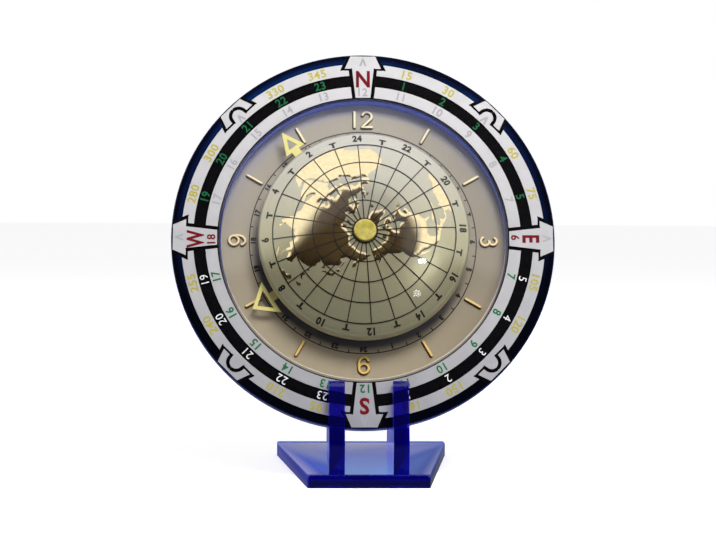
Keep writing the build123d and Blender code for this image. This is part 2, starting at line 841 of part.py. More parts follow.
# Day arbor: it turns once in 24 hours and carries the world disc
day_arbor_top = hub_foot + hub_barrel_length - end_shake
with BuildPart() as day_arbor:
    with BuildSketch(on_head(case_back + end_shake)):
        Circle(day_arbor_radius)
    extrude(amount=day_arbor_top - case_back - end_shake)
    with BuildSketch(on_head(layer_front(4))):
        Polygon(*toothed_outline(day_wheel_teeth), align=None)
    extrude(amount=-wheel_thickness)
finish(day_arbor.part, "day_arbor")

# Setting arbor: driven by the minute pinion and the knob, it drives the hour wheel
knob_face = cover_back - knob_standoff
arbor_front = case_floor + pivot_depth - end_shake
setting_arbor_back = knob_face - knob_socket_depth
setting_wheel_turn = mesh_turn(minute_pinion_teeth, setting_wheel_teeth, setting_direction)
setting_pinion_turn = mesh_turn(hour_wheel_teeth, setting_pinion_teeth, setting_direction)
with BuildPart() as setting_arbor:
    with BuildSketch(at_head(setting_place, setting_arbor_back)):
        Circle(side_arbor_radius)
    extrude(amount=arbor_front - setting_arbor_back)
    with BuildSketch(at_head(setting_place, layer_front(0))):
        Polygon(*toothed_outline(setting_pinion_teeth, setting_pinion_turn), align=None)
    extrude(amount=-2 * wheel_thickness - wheel_gap)
    with BuildSketch(at_head(setting_place, layer_front(2))):
        Polygon(*toothed_outline(setting_wheel_teeth, setting_wheel_turn), align=None)
    extrude(amount=-wheel_thickness)
finish(setting_arbor.part, "setting_arbor")

# Day idler: from the hour wheel down to the day wheel
idler_back = case_back + end_shake
idler_wheel_turn = mesh_turn(hour_pinion_teeth, idler_wheel_teeth, idler_direction)
idler_pinion_turn = mesh_turn(day_wheel_teeth, idler_pinion_teeth, idler_direction)
with BuildPart() as day_idler:
    with BuildSketch(at_head(idler_place, idler_back)):
        Circle(side_arbor_radius)
    extrude(amount=arbor_front - idler_back)
    with BuildSketch(at_head(idler_place, layer_front(1))):
        Polygon(*toothed_outline(idler_wheel_teeth, idler_wheel_turn), align=None)
    extrude(amount=-wheel_thickness)
    with BuildSketch(at_head(idler_place, layer_front(4))):
        Polygon(*toothed_outline(idler_pinion_teeth, idler_pinion_turn), align=None)
    extrude(amount=-wheel_thickness)
finish(day_idler.part, "day_idler")

# Set knob on the back end of the setting arbor, fluted for the fingers
with BuildPart() as set_knob:
    with BuildSketch(at_head(setting_place, knob_face)):
        Circle(knob_radius)
        with PolarLocations(knob_radius, knob_flutes):
            Circle(knob_flute_radius, mode=Mode.SUBTRACT)
    extrude(amount=-knob_height)
    with BuildSketch(at_head(setting_place, knob_face)):
        Circle(pivot_bore)
    extrude(amount=-knob_socket_depth - end_shake, mode=Mode.SUBTRACT)
finish(set_knob.part, "set_knob")

# Battery, lying across the bay with its button to the right
battery_level = case_floor - battery_clearance - battery_radius
battery_left = -battery_total / 2
battery_centre = head.from_local_coords(Vector(0, bay_middle, battery_level))
across = Plane(origin=battery_centre, x_dir=head.y_dir, z_dir=head.x_dir)
with BuildPart() as battery:
    with BuildSketch(across.offset(battery_left)):
        Circle(battery_radius)
    extrude(amount=battery_length)
    chamfer(battery.edges(), length=edge_break)
    with BuildSketch(across.offset(battery_left + battery_length)):
        Circle(battery_button_radius)
    extrude(amount=battery_button_length)
finish(battery.part, "battery")

# Battery contacts: sheet plates on the bay's end walls, each with a pressed bump
bump_height = inner_half - contact_sheet - battery_total / 2 - battery_clearance


def make_contact(side, name):
    """Contact plate on one end wall; side is -1 at the left and 1 at the right."""
    with BuildPart() as contact:
        with BuildSketch(across.offset(side * inner_half)):
            Rectangle(contact_size, contact_size)
        extrude(amount=-side * contact_sheet)
        with BuildSketch(across.offset(side * (inner_half - contact_sheet))):
            Circle(contact_bump_radius)
        extrude(amount=-side * bump_height)
    finish(contact.part, name)


make_contact(-1, "contact_negative")
make_contact(1, "contact_positive")

# Circuit board on the case's floor, with its chip under a drop of resin
board_place = (
    board_side_margin + board_length / 2 - inner_half,
    gear_bay_rise - board_top_margin - board_width / 2,
)
with BuildPart() as circuit_board:
    with BuildSketch(at_head(board_place, case_floor)):
        Rectangle(board_length, board_width)
    extrude(amount=-board_thickness)
finish(circuit_board.part, "circuit_board")

with BuildPart() as chip:
    with BuildSketch(at_head(board_place, case_floor - board_thickness)):
        Circle(chip_radius)
    extrude(amount=-chip_height)
    chamfer(chip.faces().sort_by(head_axis)[0].edges(), length=chip_height / 2)
finish(chip.part, "chip")

# Drive coil: a winding on a bobbin, round a bar of soft iron
coil_across = inner_half - coil_side_margin - core_length / 2
coil_up = gear_bay_rise - coil_top_margin - cheek_radius
coil_centre = head.from_local_coords(Vector(coil_across, coil_up, case_floor - cheek_radius))
coil_plane = Plane(origin=coil_centre, x_dir=head.y_dir, z_dir=head.x_dir)
barrel_radius = core_width
with BuildPart() as coil_bobbin:
    with BuildSketch(coil_plane.offset(-coil_length / 2)):
        Circle(barrel_radius)
    extrude(amount=coil_length)
    for end in (-1, 1):
        with BuildSketch(coil_plane.offset(end * coil_length / 2)):
            Circle(cheek_radius)
        extrude(amount=-end * cheek_thickness)
    with BuildSketch(coil_plane.offset(-coil_length / 2)):
        Rectangle(core_width + running_clearance, core_width + running_clearance)
    extrude(amount=coil_length, mode=Mode.SUBTRACT)
finish(coil_bobbin.part, "coil_bobbin")

winding_length = coil_length - 2 * cheek_thickness
with BuildPart() as coil_winding:
    with BuildSketch(coil_plane.offset(-winding_length / 2)):
        Circle(coil_radius)
        Circle(barrel_radius, mode=Mode.SUBTRACT)
    extrude(amount=winding_length)
finish(coil_winding.part, "coil_winding")

with BuildPart() as coil_core:
    with BuildSketch(coil_plane.offset(-core_length / 2)):
        Rectangle(core_width, core_width)
    extrude(amount=core_length)
finish(coil_core.part, "coil_core")
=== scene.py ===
import json
from math import acos, asin, cos, degrees, hypot, pi, radians, sin, sqrt
from random import Random

import bmesh
import bpy
from mathutils import Matrix, Vector
from mathutils.geometry import delaunay_2d_cdt


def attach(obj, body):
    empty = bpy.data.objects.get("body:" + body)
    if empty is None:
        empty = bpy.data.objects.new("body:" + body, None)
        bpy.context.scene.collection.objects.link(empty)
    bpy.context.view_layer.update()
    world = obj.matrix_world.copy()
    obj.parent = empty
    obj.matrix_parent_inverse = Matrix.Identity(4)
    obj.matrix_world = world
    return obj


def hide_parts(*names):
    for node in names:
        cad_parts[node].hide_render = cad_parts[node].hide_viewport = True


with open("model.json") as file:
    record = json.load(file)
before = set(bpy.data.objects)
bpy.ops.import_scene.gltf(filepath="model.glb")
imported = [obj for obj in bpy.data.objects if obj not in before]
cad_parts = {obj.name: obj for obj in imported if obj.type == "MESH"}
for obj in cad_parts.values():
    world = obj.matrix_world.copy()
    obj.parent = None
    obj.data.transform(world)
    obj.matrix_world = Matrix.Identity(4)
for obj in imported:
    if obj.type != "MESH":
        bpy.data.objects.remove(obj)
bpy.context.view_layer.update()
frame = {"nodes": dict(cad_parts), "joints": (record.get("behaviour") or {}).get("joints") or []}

# Lengths below are in millimetres of the clock head, and MM turns them into metres
MM = 0.001

nodes = frame["nodes"]
joints = {joint["name"]: joint for joint in frame["joints"]}

# The head's own axes, from the joints: across, up the dial, and out of its front
head_centre = Vector(joints["minute_turn"]["pos_m"])
outward = -Vector(joints["minute_turn"]["axis"])
upward = Vector(joints["head_lift"]["axis"])
across = upward.cross(outward)
head = Matrix((across, upward, outward)).transposed().to_4x4()
head.translation = head_centre
lean = degrees(acos(upward.z))


def reach(name):
    """Least and most radius, and lowest and highest level, of a CAD node about the head's axis."""
    turned = [head.inverted() @ vertex.co for vertex in nodes[name].data.vertices]
    spans = [hypot(place.x, place.y) / MM for place in turned]
    levels = [place.z / MM for place in turned]
    return min(spans), max(spans), min(levels), max(levels)


ring_opening, ring_rim, ring_back, ring_front = reach("bezel_ring")
scale_front = reach("scale_plate")[3]
track_front = reach("scale_tracks")[3]
dial_front = reach("dial_plate")[3]

# Materials

# Painted glow: emission that stands in for light that the ring carries to the wall of its opening, and the stand to
# its top and its left sides
wall_painted_glow = 0.30
sheet_painted_glow = 0.23
side_painted_glow = 0.16


def material(name):
    """New material with an empty principled shader; returns it, its tree and the shader."""
    made = bpy.data.materials.new(name)
    made.use_nodes = True
    tree = made.node_tree
    return made, tree, tree.nodes["Principled BSDF"]


def node(tree, kind, **settings):
    """Adds a shader node; a setting named in capitals is a socket's value."""
    made = tree.nodes.new(kind)
    for key, value in settings.items():
        if key.isupper():
            made.inputs[key.replace("_", " ").title()].default_value = value
        else:
            setattr(made, key, value)
    return made


def noise(tree, scale, detail=3.0, stretch=None):
    """Noise in object space; stretch scales its three directions."""
    place = node(tree, "ShaderNodeTexCoord")
    source = place.outputs["Object"]
    if stretch:
        mapping = node(tree, "ShaderNodeMapping", SCALE=stretch)
        tree.links.new(source, mapping.inputs["Vector"])
        source = mapping.outputs["Vector"]
    made = node(tree, "ShaderNodeTexNoise", SCALE=scale, DETAIL=detail)
    tree.links.new(source, made.inputs["Vector"])
    return made.outputs["Fac"]


def ramp(tree, source, stops):
    """Colour ramp over a value; stops are pairs of position and colour."""
    made = node(tree, "ShaderNodeValToRGB")
    ends = made.color_ramp.elements
    while len(ends) < len(stops):
        ends.new(0.5)
    for end, (position, colour) in zip(ends, stops):
        end.position = position
        end.color = colour if len(colour) == 4 else (*colour, 1.0)
    tree.links.new(source, made.inputs["Fac"])
    return made.outputs["Color"]


def remap(tree, source, low, high, start=0.0, end=1.0):
    """Value from start..end spread over low..high."""
    made = node(tree, "ShaderNodeMapRange")
    made.inputs["From Min"].default_value = start
    made.inputs["From Max"].default_value = end
    made.inputs["To Min"].default_value = low
    made.inputs["To Max"].default_value = high
    tree.links.new(source, made.inputs["Value"])
    return made.outputs["Result"]


def chosen(tree, switch, off, on):
    """Value that is on where the switch is 1 and off where it is 0; each is a number or a socket."""
    made = node(tree, "ShaderNodeMix", data_type="FLOAT")
    tree.links.new(switch, made.inputs["Factor"])
    for socket, value in (("A", off), ("B", on)):
        if isinstance(value, float):
            made.inputs[socket].default_value = value
        else:
            tree.links.new(value, made.inputs[socket])
    return made.outputs["Result"]


def bump(tree, shader, source, height, strength=0.4):
    """Bump of a height in millimetres from a value."""
    made = node(tree, "ShaderNodeBump", STRENGTH=strength, DISTANCE=height * MM)
    tree.links.new(source, made.inputs["Height"])
    tree.links.new(made.outputs["Normal"], shader.inputs["Normal"])


def plain(name, dark, light, rough=(0.3, 0.45), metallic=0.0, grain=200.0, stretch=None, relief=0.02, coat=0.0):
    """Material whose colour, roughness and relief vary a little with noise."""
    made, tree, shader = material(name)
    fac = noise(tree, grain, stretch=stretch)
    tree.links.new(ramp(tree, fac, [(0.3, dark), (0.7, light)]), shader.inputs["Base Color"])
    tree.links.new(remap(tree, fac, *rough), shader.inputs["Roughness"])
    shader.inputs["Metallic"].default_value = metallic
    shader.inputs["Coat Weight"].default_value = coat
    if relief:
        bump(tree, shader, fac, relief)
    return made


def shadow_light(tree, shader, tint):
    """Lets light pass through a clear material, tinted, instead of a black shadow."""
    path = node(tree, "ShaderNodeLightPath")
    through = node(tree, "ShaderNodeBsdfTransparent")
    through.inputs["Color"].default_value = (*tint, 1.0)
    mix = node(tree, "ShaderNodeMixShader")
    tree.links.new(path.outputs["Is Shadow Ray"], mix.inputs["Fac"])
    tree.links.new(shader.outputs["BSDF"], mix.inputs[1])
    tree.links.new(through.outputs["BSDF"], mix.inputs[2])
    tree.links.new(mix.outputs["Shader"], tree.nodes["Material Output"].inputs["Surface"])


def acrylic(name, absorb, density):
    """Polished transparent sheet that colours light along its way through."""
    made, tree, shader = material(name)
    shader.inputs["Base Color"].default_value = (1.0, 1.0, 1.0, 1.0)
    shader.inputs["Transmission Weight"].default_value = 1.0
    shader.inputs["IOR"].default_value = 1.49
    tree.links.new(remap(tree, noise(tree, 60.0), 0.0, 0.035), shader.inputs["Roughness"])
    shadow_light(tree, shader, (0.22, 0.26, 0.65))
    volume = node(tree, "ShaderNodeVolumeAbsorption", DENSITY=density)
    volume.inputs["Color"].default_value = (*absorb, 1.0)
    tree.links.new(volume.outputs["Volume"], tree.nodes["Material Output"].inputs["Volume"])
    return made


blue_acrylic = acrylic("blue_acrylic", (0.10, 0.04, 0.86), 220.0)
stand_tree = blue_acrylic.node_tree
stand_shader = stand_tree.nodes["Principled BSDF"]
# Painted glow on the stand: blue emission on its top, stronger towards the front, and on its left side faces
facing = node(stand_tree, "ShaderNodeNewGeometry")
facing_split = node(stand_tree, "ShaderNodeSeparateXYZ")
stand_tree.links.new(facing.outputs["Normal"], facing_split.inputs["Vector"])
place = node(stand_tree, "ShaderNodeTexCoord")
place_split = node(stand_tree, "ShaderNodeSeparateXYZ")
stand_tree.links.new(place.outputs["Object"], place_split.inputs["Vector"])
forward_share = remap(stand_tree, place_split.outputs["Y"], 1.0, 0.0, -0.055, 0.035)
low_top = node(stand_tree, "ShaderNodeMath", operation="MULTIPLY")
stand_tree.links.new(remap(stand_tree, facing_split.outputs["Z"], 0.0, 1.0, 0.9, 0.98), low_top.inputs[0])
stand_tree.links.new(remap(stand_tree, place_split.outputs["Z"], 1.0, 0.0, 0.015, 0.03), low_top.inputs[1])
on_top = node(stand_tree, "ShaderNodeMath", operation="MULTIPLY")
stand_tree.links.new(low_top.outputs["Value"], on_top.inputs[0])
stand_tree.links.new(forward_share, on_top.inputs[1])
stand_painted_glow = ramp(stand_tree, on_top.outputs["Value"], [(0.0, (0.0, 0.0, 1.0)), (0.25, (0.05, 0.11, 0.85)), (1.0, (0.01, 0.38, 1.0))])
side_share = node(stand_tree, "ShaderNodeMath", operation="MULTIPLY")
stand_tree.links.new(remap(stand_tree, facing_split.outputs["X"], 1.0, 0.0, -0.55, -0.25), side_share.inputs[0])
stand_tree.links.new(remap(stand_tree, place_split.outputs["Z"], 1.0, 0.0, 0.03, 0.05), side_share.inputs[1])
on_left = side_share.outputs["Value"]
stand_painted_glow_tint = node(stand_tree, "ShaderNodeMix", data_type="RGBA")
stand_tree.links.new(on_left, stand_painted_glow_tint.inputs["Factor"])
stand_tree.links.new(stand_painted_glow, stand_painted_glow_tint.inputs["A"])
stand_painted_glow_tint.inputs["B"].default_value = (0.02, 0.035, 1.0, 1.0)
stand_tree.links.new(stand_painted_glow_tint.outputs["Result"], stand_shader.inputs["Emission Color"])
stand_painted_glow_strength = chosen(stand_tree, on_left, remap(stand_tree, on_top.outputs["Value"], 0.03, sheet_painted_glow), side_painted_glow)
stand_tree.links.new(stand_painted_glow_strength, stand_shader.inputs["Emission Strength"])
ring_acrylic = acrylic("ring_acrylic", (0.0, 0.20, 0.84), 170.0)
ring_shader = ring_acrylic.node_tree.nodes["Principled BSDF"]
ring_shader.inputs["Transmission Weight"].default_value = 0.5
ring_shader.inputs["Base Color"].default_value = (0.006, 0.022, 0.16, 1.0)
crystal_clear, crystal_tree, crystal_shader = material("crystal_clear")
crystal_shader.inputs["Base Color"].default_value = (1.0, 1.0, 1.0, 1.0)
crystal_shader.inputs["Transmission Weight"].default_value = 1.0
crystal_shader.inputs["IOR"].default_value = 1.32
crystal_tree.links.new(remap(crystal_tree, noise(crystal_tree, 40.0), 0.0, 0.01), crystal_shader.inputs["Roughness"])
shadow_light(crystal_tree, crystal_shader, (0.97, 0.98, 1.0))

gold = plain("gold", (0.93, 0.82, 0.54), (0.98, 0.89, 0.64), (0.18, 0.28), 0.12, 900.0, None, 0.004)
hand_gold = plain("hand_gold", (0.70, 0.61, 0.20), (0.78, 0.69, 0.26), (0.42, 0.52), 0.08, 1200.0, None, 0.004)
brass = plain("brass", (0.47, 0.38, 0.055), (0.72, 0.61, 0.16), (0.26, 0.38), 0.3, 330.0, None, 0.006)
steel = plain("steel", (0.50, 0.50, 0.50), (0.66, 0.66, 0.65), (0.25, 0.4), 1.0, 600.0, None, 0.004)
nickel = plain("nickel", (0.62, 0.61, 0.58), (0.76, 0.75, 0.72), (0.15, 0.3), 1.0, 500.0, None, 0.004)
iron = plain("soft_iron", (0.32, 0.32, 0.33), (0.46, 0.46, 0.46), (0.35, 0.5), 1.0, 600.0, (1, 1, 6), 0.006)
copper = plain("copper_wire", (0.45, 0.16, 0.06), (0.70, 0.30, 0.12), (0.2, 0.35), 1.0, 2500.0, (6, 1, 1), 0.05)
black_plastic = plain("black_plastic", (0.012, 0.012, 0.013), (0.030, 0.030, 0.032), (0.42, 0.6), 0.0, 1800.0, None, 0.02)
pale_plastic = plain("pale_plastic", (0.68, 0.67, 0.62), (0.80, 0.79, 0.75), (0.35, 0.5), 0.0, 900.0, None, 0.01)
rubber = plain("black_rubber", (0.010, 0.010, 0.010), (0.022, 0.022, 0.022), (0.6, 0.8), 0.0, 1500.0, None, 0.02)
board_green = plain("board_green", (0.010, 0.12, 0.04), (0.02, 0.20, 0.08), (0.25, 0.4), 0.0, 900.0, None, 0.01)
resin = plain("black_resin", (0.008, 0.008, 0.008), (0.02, 0.02, 0.02), (0.08, 0.2), 0.0, 400.0, None, 0.02)
battery_sleeve = plain("battery_sleeve", (0.03, 0.03, 0.035), (0.06, 0.06, 0.065), (0.25, 0.4), 0.6, 300.0, None, 0.01)
dial_satin = plain("dial_satin", (0.341, 0.30, 0.238), (0.382, 0.337, 0.268), (0.52, 0.62), 0.05, 2600.0, None, 0.01)
print_black = plain("print_black", (0.0015, 0.0015, 0.002), (0.003, 0.003, 0.004), (0.12, 0.18), 0.0, 500.0, None, 0.002)
band_navy, band_tree, band_shader = material("band_navy")
band_shader.inputs["Roughness"].default_value = 0.10
band_place = node(band_tree, "ShaderNodeTexCoord")
band_split = node(band_tree, "ShaderNodeSeparateXYZ")
band_tree.links.new(band_place.outputs["Object"], band_split.inputs["Vector"])
band_blue = node(band_tree, "ShaderNodeMath", operation="MULTIPLY")
band_tree.links.new(noise(band_tree, 22.0), band_blue.inputs[0])
band_radius = node(band_tree, "ShaderNodeVectorMath", operation="DISTANCE")
band_tree.links.new(band_place.outputs["Object"], band_radius.inputs[0])
band_radius.inputs[1].default_value = head_centre
band_inward = node(band_tree, "ShaderNodeMath", operation="MULTIPLY")
band_tree.links.new(remap(band_tree, band_split.outputs["Z"], 0.15, 1.0, 0.08, 0.20), band_inward.inputs[0])
band_tree.links.new(remap(band_tree, band_radius.outputs["Value"], 1.0, 0.35, 0.0962, 0.0982), band_inward.inputs[1])
band_tree.links.new(band_inward.outputs["Value"], band_blue.inputs[1])
band_stops = [(0.1, (0.0005, 0.0008, 0.003)), (0.4, (0.001, 0.005, 0.030)), (0.62, (0.001, 0.014, 0.065))]
band_tree.links.new(ramp(band_tree, band_blue.outputs["Value"], band_stops), band_shader.inputs["Base Color"])
seal_black = plain("seal_black", (0.001, 0.001, 0.003), (0.003, 0.003, 0.006), (0.5, 0.6), 0.0, 900.0, None, 0.004)
wall_blue = plain("wall_blue", (0.003, 0.022, 0.20), (0.006, 0.040, 0.32), (0.12, 0.22), 0.0, 120.0, None, 0.003)
wall_tree = wall_blue.node_tree
wall_shader = wall_tree.nodes["Principled BSDF"]
# Painted glow on the wall: blue emission on its upper part, and on its lower part a warm emission over a colour like
# the dial's
wall_place = node(wall_tree, "ShaderNodeTexCoord")
wall_split = node(wall_tree, "ShaderNodeSeparateXYZ")
wall_tree.links.new(wall_place.outputs["Object"], wall_split.inputs["Vector"])
wall_lower = remap(wall_tree, wall_split.outputs["Z"], 1.0, 0.0, 0.085, 0.13)
wall_painted_glow_tint = node(wall_tree, "ShaderNodeMix", data_type="RGBA")
wall_tree.links.new(wall_lower, wall_painted_glow_tint.inputs["Factor"])
wall_painted_glow_tint.inputs["A"].default_value = (0.004, 0.06, 0.62, 1.0)
wall_painted_glow_tint.inputs["B"].default_value = (1.0, 0.88, 0.72, 1.0)
wall_tree.links.new(wall_painted_glow_tint.outputs["Result"], wall_shader.inputs["Emission Color"])
wall_painted_glow_strength = chosen(wall_tree, wall_lower, remap(wall_tree, wall_split.outputs["Z"], 0.0, wall_painted_glow, 0.11, 0.19), 0.24)
wall_tree.links.new(wall_painted_glow_strength, wall_shader.inputs["Emission Strength"])
wall_mix = node(wall_tree, "ShaderNodeMix", data_type="RGBA")
wall_tree.links.new(wall_lower, wall_mix.inputs["Factor"])
wall_tree.links.new(wall_shader.inputs["Base Color"].links[0].from_socket, wall_mix.inputs["A"])
wall_mix.inputs["B"].default_value = (0.54, 0.485, 0.40, 1.0)
wall_tree.links.new(wall_mix.outputs["Result"], wall_shader.inputs["Base Color"])
pale_print = plain("pale_print", (0.485, 0.473, 0.481), (0.535, 0.522, 0.530), (0.3, 0.42), 0.0, 90.0, None, 0.002)
yellow_print = plain("yellow_print", (0.37, 0.32, 0.035), (0.44, 0.385, 0.055), (0.35, 0.5))
green_print = plain("green_print", (0.004, 0.075, 0.026), (0.008, 0.105, 0.038), (0.35, 0.5))
bright_green = plain("bright_green", (0.004, 0.10, 0.028), (0.006, 0.135, 0.038), (0.35, 0.5))
red_print = plain("red_print", (0.105, 0.0006, 0.004), (0.15, 0.0015, 0.006), (0.35, 0.5))
grey_print = plain("grey_print", (0.285, 0.285, 0.31), (0.325, 0.325, 0.35), (0.35, 0.5))
white_print = plain("white_print", (0.60, 0.61, 0.62), (0.70, 0.71, 0.72), (0.35, 0.5))
black_ink = plain("black_ink", (0.006, 0.005, 0.004), (0.018, 0.015, 0.012), (0.35, 0.5))
ocean = plain("ocean_satin", (0.43, 0.40, 0.245), (0.48, 0.445, 0.28), (0.26, 0.32), 0.62, 1800.0, None, 0.006)
ocean_tree = ocean.node_tree
ocean_socket = ocean_tree.nodes["Principled BSDF"].inputs["Base Color"]
ocean_colour = ocean_socket.links[0].from_socket
# Painted sheen: the ocean turns lighter and greyer higher up in the world
ocean_place = node(ocean_tree, "ShaderNodeNewGeometry")
ocean_split = node(ocean_tree, "ShaderNodeSeparateXYZ")
ocean_tree.links.new(ocean_place.outputs["Position"], ocean_split.inputs["Vector"])
ocean_painted_sheen = node(ocean_tree, "ShaderNodeMix", data_type="RGBA")
ocean_tree.links.new(remap(ocean_tree, ocean_split.outputs["Z"], 0.0, 0.85, 0.125, 0.175), ocean_painted_sheen.inputs["Factor"])
ocean_tree.links.new(ocean_colour, ocean_painted_sheen.inputs["A"])
ocean_painted_sheen.inputs["B"].default_value = (0.60, 0.575, 0.53, 1.0)
ocean_tree.links.new(ocean_painted_sheen.outputs["Result"], ocean_socket)
land_gold = plain("land_gold", (0.93, 0.755, 0.42), (0.98, 0.83, 0.52), (0.07, 0.12), 1.0, 500.0, None, 0.006)


def shaded(made, far_tint, low, high, axis="Z", ends=(0.0, 1.0)):
    """Paints shade into a material's colour: tints it more and more towards one end of a span in metres along an axis.
    """
    tree = made.node_tree
    socket = tree.nodes["Principled BSDF"].inputs["Base Color"]
    colour = socket.links[0].from_socket
    place = node(tree, "ShaderNodeTexCoord")
    split = node(tree, "ShaderNodeSeparateXYZ")
    tree.links.new(place.outputs["Object"], split.inputs["Vector"])
    tint = ramp(tree, remap(tree, split.outputs[axis], *ends, low, high), [(0.0, far_tint), (1.0, (1.0, 1.0, 1.0))])
    mix = node(tree, "ShaderNodeMix", data_type="RGBA", blend_type="MULTIPLY")
    mix.inputs["Factor"].default_value = 1.0
    tree.links.new(colour, mix.inputs["A"])
    tree.links.new(tint, mix.inputs["B"])
    tree.links.new(mix.outputs["Result"], socket)


# Painted shade: the pale and yellow print darken towards the bottom of the head
shaded(pale_print, (0.54, 0.55, 0.58), 0.03, 0.20)
shaded(yellow_print, (0.80, 0.80, 0.80), 0.03, 0.20)


def brown_sides(made, brown):
    """Paints polished metal brown where it faces away from the light above: a painted reflection of the dark there."""
    tree = made.node_tree
    socket = tree.nodes["Principled BSDF"].inputs["Base Color"]
    colour = socket.links[0].from_socket
    facing = node(tree, "ShaderNodeNewGeometry")
    turned_up = node(tree, "ShaderNodeVectorMath", operation="DOT_PRODUCT")
    tree.links.new(facing.outputs["Normal"], turned_up.inputs[0])
    turned_up.inputs[1].default_value = (outward * 0.75 + upward * 0.55 + across * 0.25).normalized()
    mix = node(tree, "ShaderNodeMix", data_type="RGBA")
    tree.links.new(remap(tree, turned_up.outputs["Value"], 0.0, 1.0, 0.30, 0.74), mix.inputs["Factor"])
    mix.inputs["A"].default_value = (*brown, 1.0)
    tree.links.new(colour, mix.inputs["B"])
    tree.links.new(mix.outputs["Result"], socket)


# Painted light and shade: the gold deepens towards the bottom, the dial warms towards the bottom and darkens towards
# the right, and both golds turn brown on sides facing away from the light
shaded(gold, (0.86, 0.62, 0.25), 0.06, 0.20)
shaded(dial_satin, (1.0, 0.94, 0.80), 0.07, 0.17)
shaded(dial_satin, (0.80, 0.80, 0.80), 0.01, 0.058, "X", (1.0, 0.0))
brown_sides(gold, (0.030, 0.014, 0.003))
brown_sides(hand_gold, (0.14, 0.09, 0.015))

# Painted blue light from the ring on the upper edge of the dial
edge_tree = dial_satin.node_tree
edge_socket = edge_tree.nodes["Principled BSDF"].inputs["Base Color"]
edge_colour = edge_socket.links[0].from_socket
edge_place = node(edge_tree, "ShaderNodeTexCoord")
edge_radius = node(edge_tree, "ShaderNodeVectorMath", operation="DISTANCE")
edge_tree.links.new(edge_place.outputs["Object"], edge_radius.inputs[0])
edge_radius.inputs[1].default_value = head_centre
edge_split = node(edge_tree, "ShaderNodeSeparateXYZ")
edge_tree.links.new(edge_place.outputs["Object"], edge_split.inputs["Vector"])
painted_blue_share = node(edge_tree, "ShaderNodeMath", operation="MULTIPLY")
edge_tree.links.new(remap(edge_tree, edge_radius.outputs["Value"], 0.0, 1.0, 0.0675, 0.0745), painted_blue_share.inputs[0])
edge_tree.links.new(remap(edge_tree, edge_split.outputs["Z"], 0.0, 0.34, 0.125, 0.19), painted_blue_share.inputs[1])
painted_blue_mix = node(edge_tree, "ShaderNodeMix", data_type="RGBA")
edge_tree.links.new(painted_blue_share.outputs["Value"], painted_blue_mix.inputs["Factor"])
edge_tree.links.new(edge_colour, painted_blue_mix.inputs["A"])
painted_blue_mix.inputs["B"].default_value = (0.20, 0.30, 0.80, 1.0)
edge_tree.links.new(painted_blue_mix.outputs["Result"], edge_socket)

# Painted shadow: the dark under the world disc's lower rim, where the light from above doesn't reach
painted_shadow_share = node(edge_tree, "ShaderNodeMath", operation="MULTIPLY")
edge_tree.links.new(remap(edge_tree, edge_radius.outputs["Value"], 1.0, 0.0, 0.0564, 0.0594), painted_shadow_share.inputs[0])
lit_way = Vector((0.35, 0, 0.94))
under_level = lit_way.dot(head_centre)
under_way = node(edge_tree, "ShaderNodeVectorMath", operation="DOT_PRODUCT")
edge_tree.links.new(edge_place.outputs["Object"], under_way.inputs[0])
under_way.inputs[1].default_value = lit_way
under_turn = remap(edge_tree, under_way.outputs["Value"], 0.93, 0.0, under_level - 0.028, under_level + 0.006)
edge_tree.links.new(under_turn, painted_shadow_share.inputs[1])
painted_shadow_mix = node(edge_tree, "ShaderNodeMix", data_type="RGBA")
edge_tree.links.new(painted_shadow_share.outputs["Value"], painted_shadow_mix.inputs["Factor"])
edge_tree.links.new(painted_blue_mix.outputs["Result"], painted_shadow_mix.inputs["A"])
painted_shadow_mix.inputs["B"].default_value = (0.035, 0.035, 0.048, 1.0)
edge_tree.links.new(painted_shadow_mix.outputs["Result"], edge_socket)
for dark in (print_black, band_navy, seal_black, red_print, green_print, bright_green, black_ink):
    dark.node_tree.nodes["Principled BSDF"].inputs["Specular IOR Level"].default_value = 0.25


def dress(made, *names):
    """Gives CAD nodes a material."""
    for name in names:
        mesh = nodes[name].data
        mesh.materials.clear()
        mesh.materials.append(made)


dress(blue_acrylic, "base_plate", "bracket_left", "bracket_right")
dress(ring_acrylic, "bezel_ring")
dress(print_black, "scale_plate")
dress(pale_print, "scale_tracks")
dress(dial_satin, "dial_plate")
dress(steel, "dial_screws", "day_arbor")
dress(hand_gold, "hour_hand", "minute_hand")
dress(crystal_clear, "crystal")
dress(ocean, "world_disc")
dress(brass, "disc_hub", "centre_nut", "dial_washer", "fixing_nut")
dress(black_plastic, "disc_washer", "movement_case", "movement_cover", "set_knob")
dress(rubber, "case_gasket")
dress(pale_plastic, "hour_wheel", "minute_pinion", "setting_arbor", "day_idler", "coil_bobbin")
dress(battery_sleeve, "battery")
dress(nickel, "contact_negative", "contact_positive")
dress(board_green, "circuit_board")
dress(resin, "chip")
dress(copper, "coil_winding")
dress(iron, "coil_core")


def round_edges(width, *names):
    """Softens a CAD node's sharp edges with modifiers; its own mesh stays as it is."""
    for name in names:
        weld = nodes[name].modifiers.new("weld", "WELD")
        weld.merge_threshold = 0.001 * MM
        bevel = nodes[name].modifiers.new("bevel", "BEVEL")
        bevel.width = width * MM
        bevel.segments = 4
        bevel.limit_method = "ANGLE"
        bevel.angle_limit = radians(40)
        bevel.harden_normals = True


# Pieces


def piece(name, mesh, made, body, place=head):
    """Object from a mesh drawn in millimetres of the head, riding on a body."""
    mesh.transform(Matrix.Scale(MM, 4))
    mesh.transform(place)
    mesh.materials.clear()
    mesh.materials.append(made)
    made_object = bpy.data.objects.new(name, mesh)
    bpy.context.scene.collection.objects.link(made_object)
    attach(made_object, body)
    return made_object


def mesh_of(name, built):
    """Mesh from a bmesh, which is freed."""
    mesh = bpy.data.meshes.new(name)
    built.to_mesh(mesh)
    built.free()
    return mesh


def join(name, meshes):
    """One mesh from many."""
    built = bmesh.new()
    for mesh in meshes:
        built.from_mesh(mesh)
    return mesh_of(name, built)


letter_meshes = {}
cap_share = 0.66
letter_space = 1.08


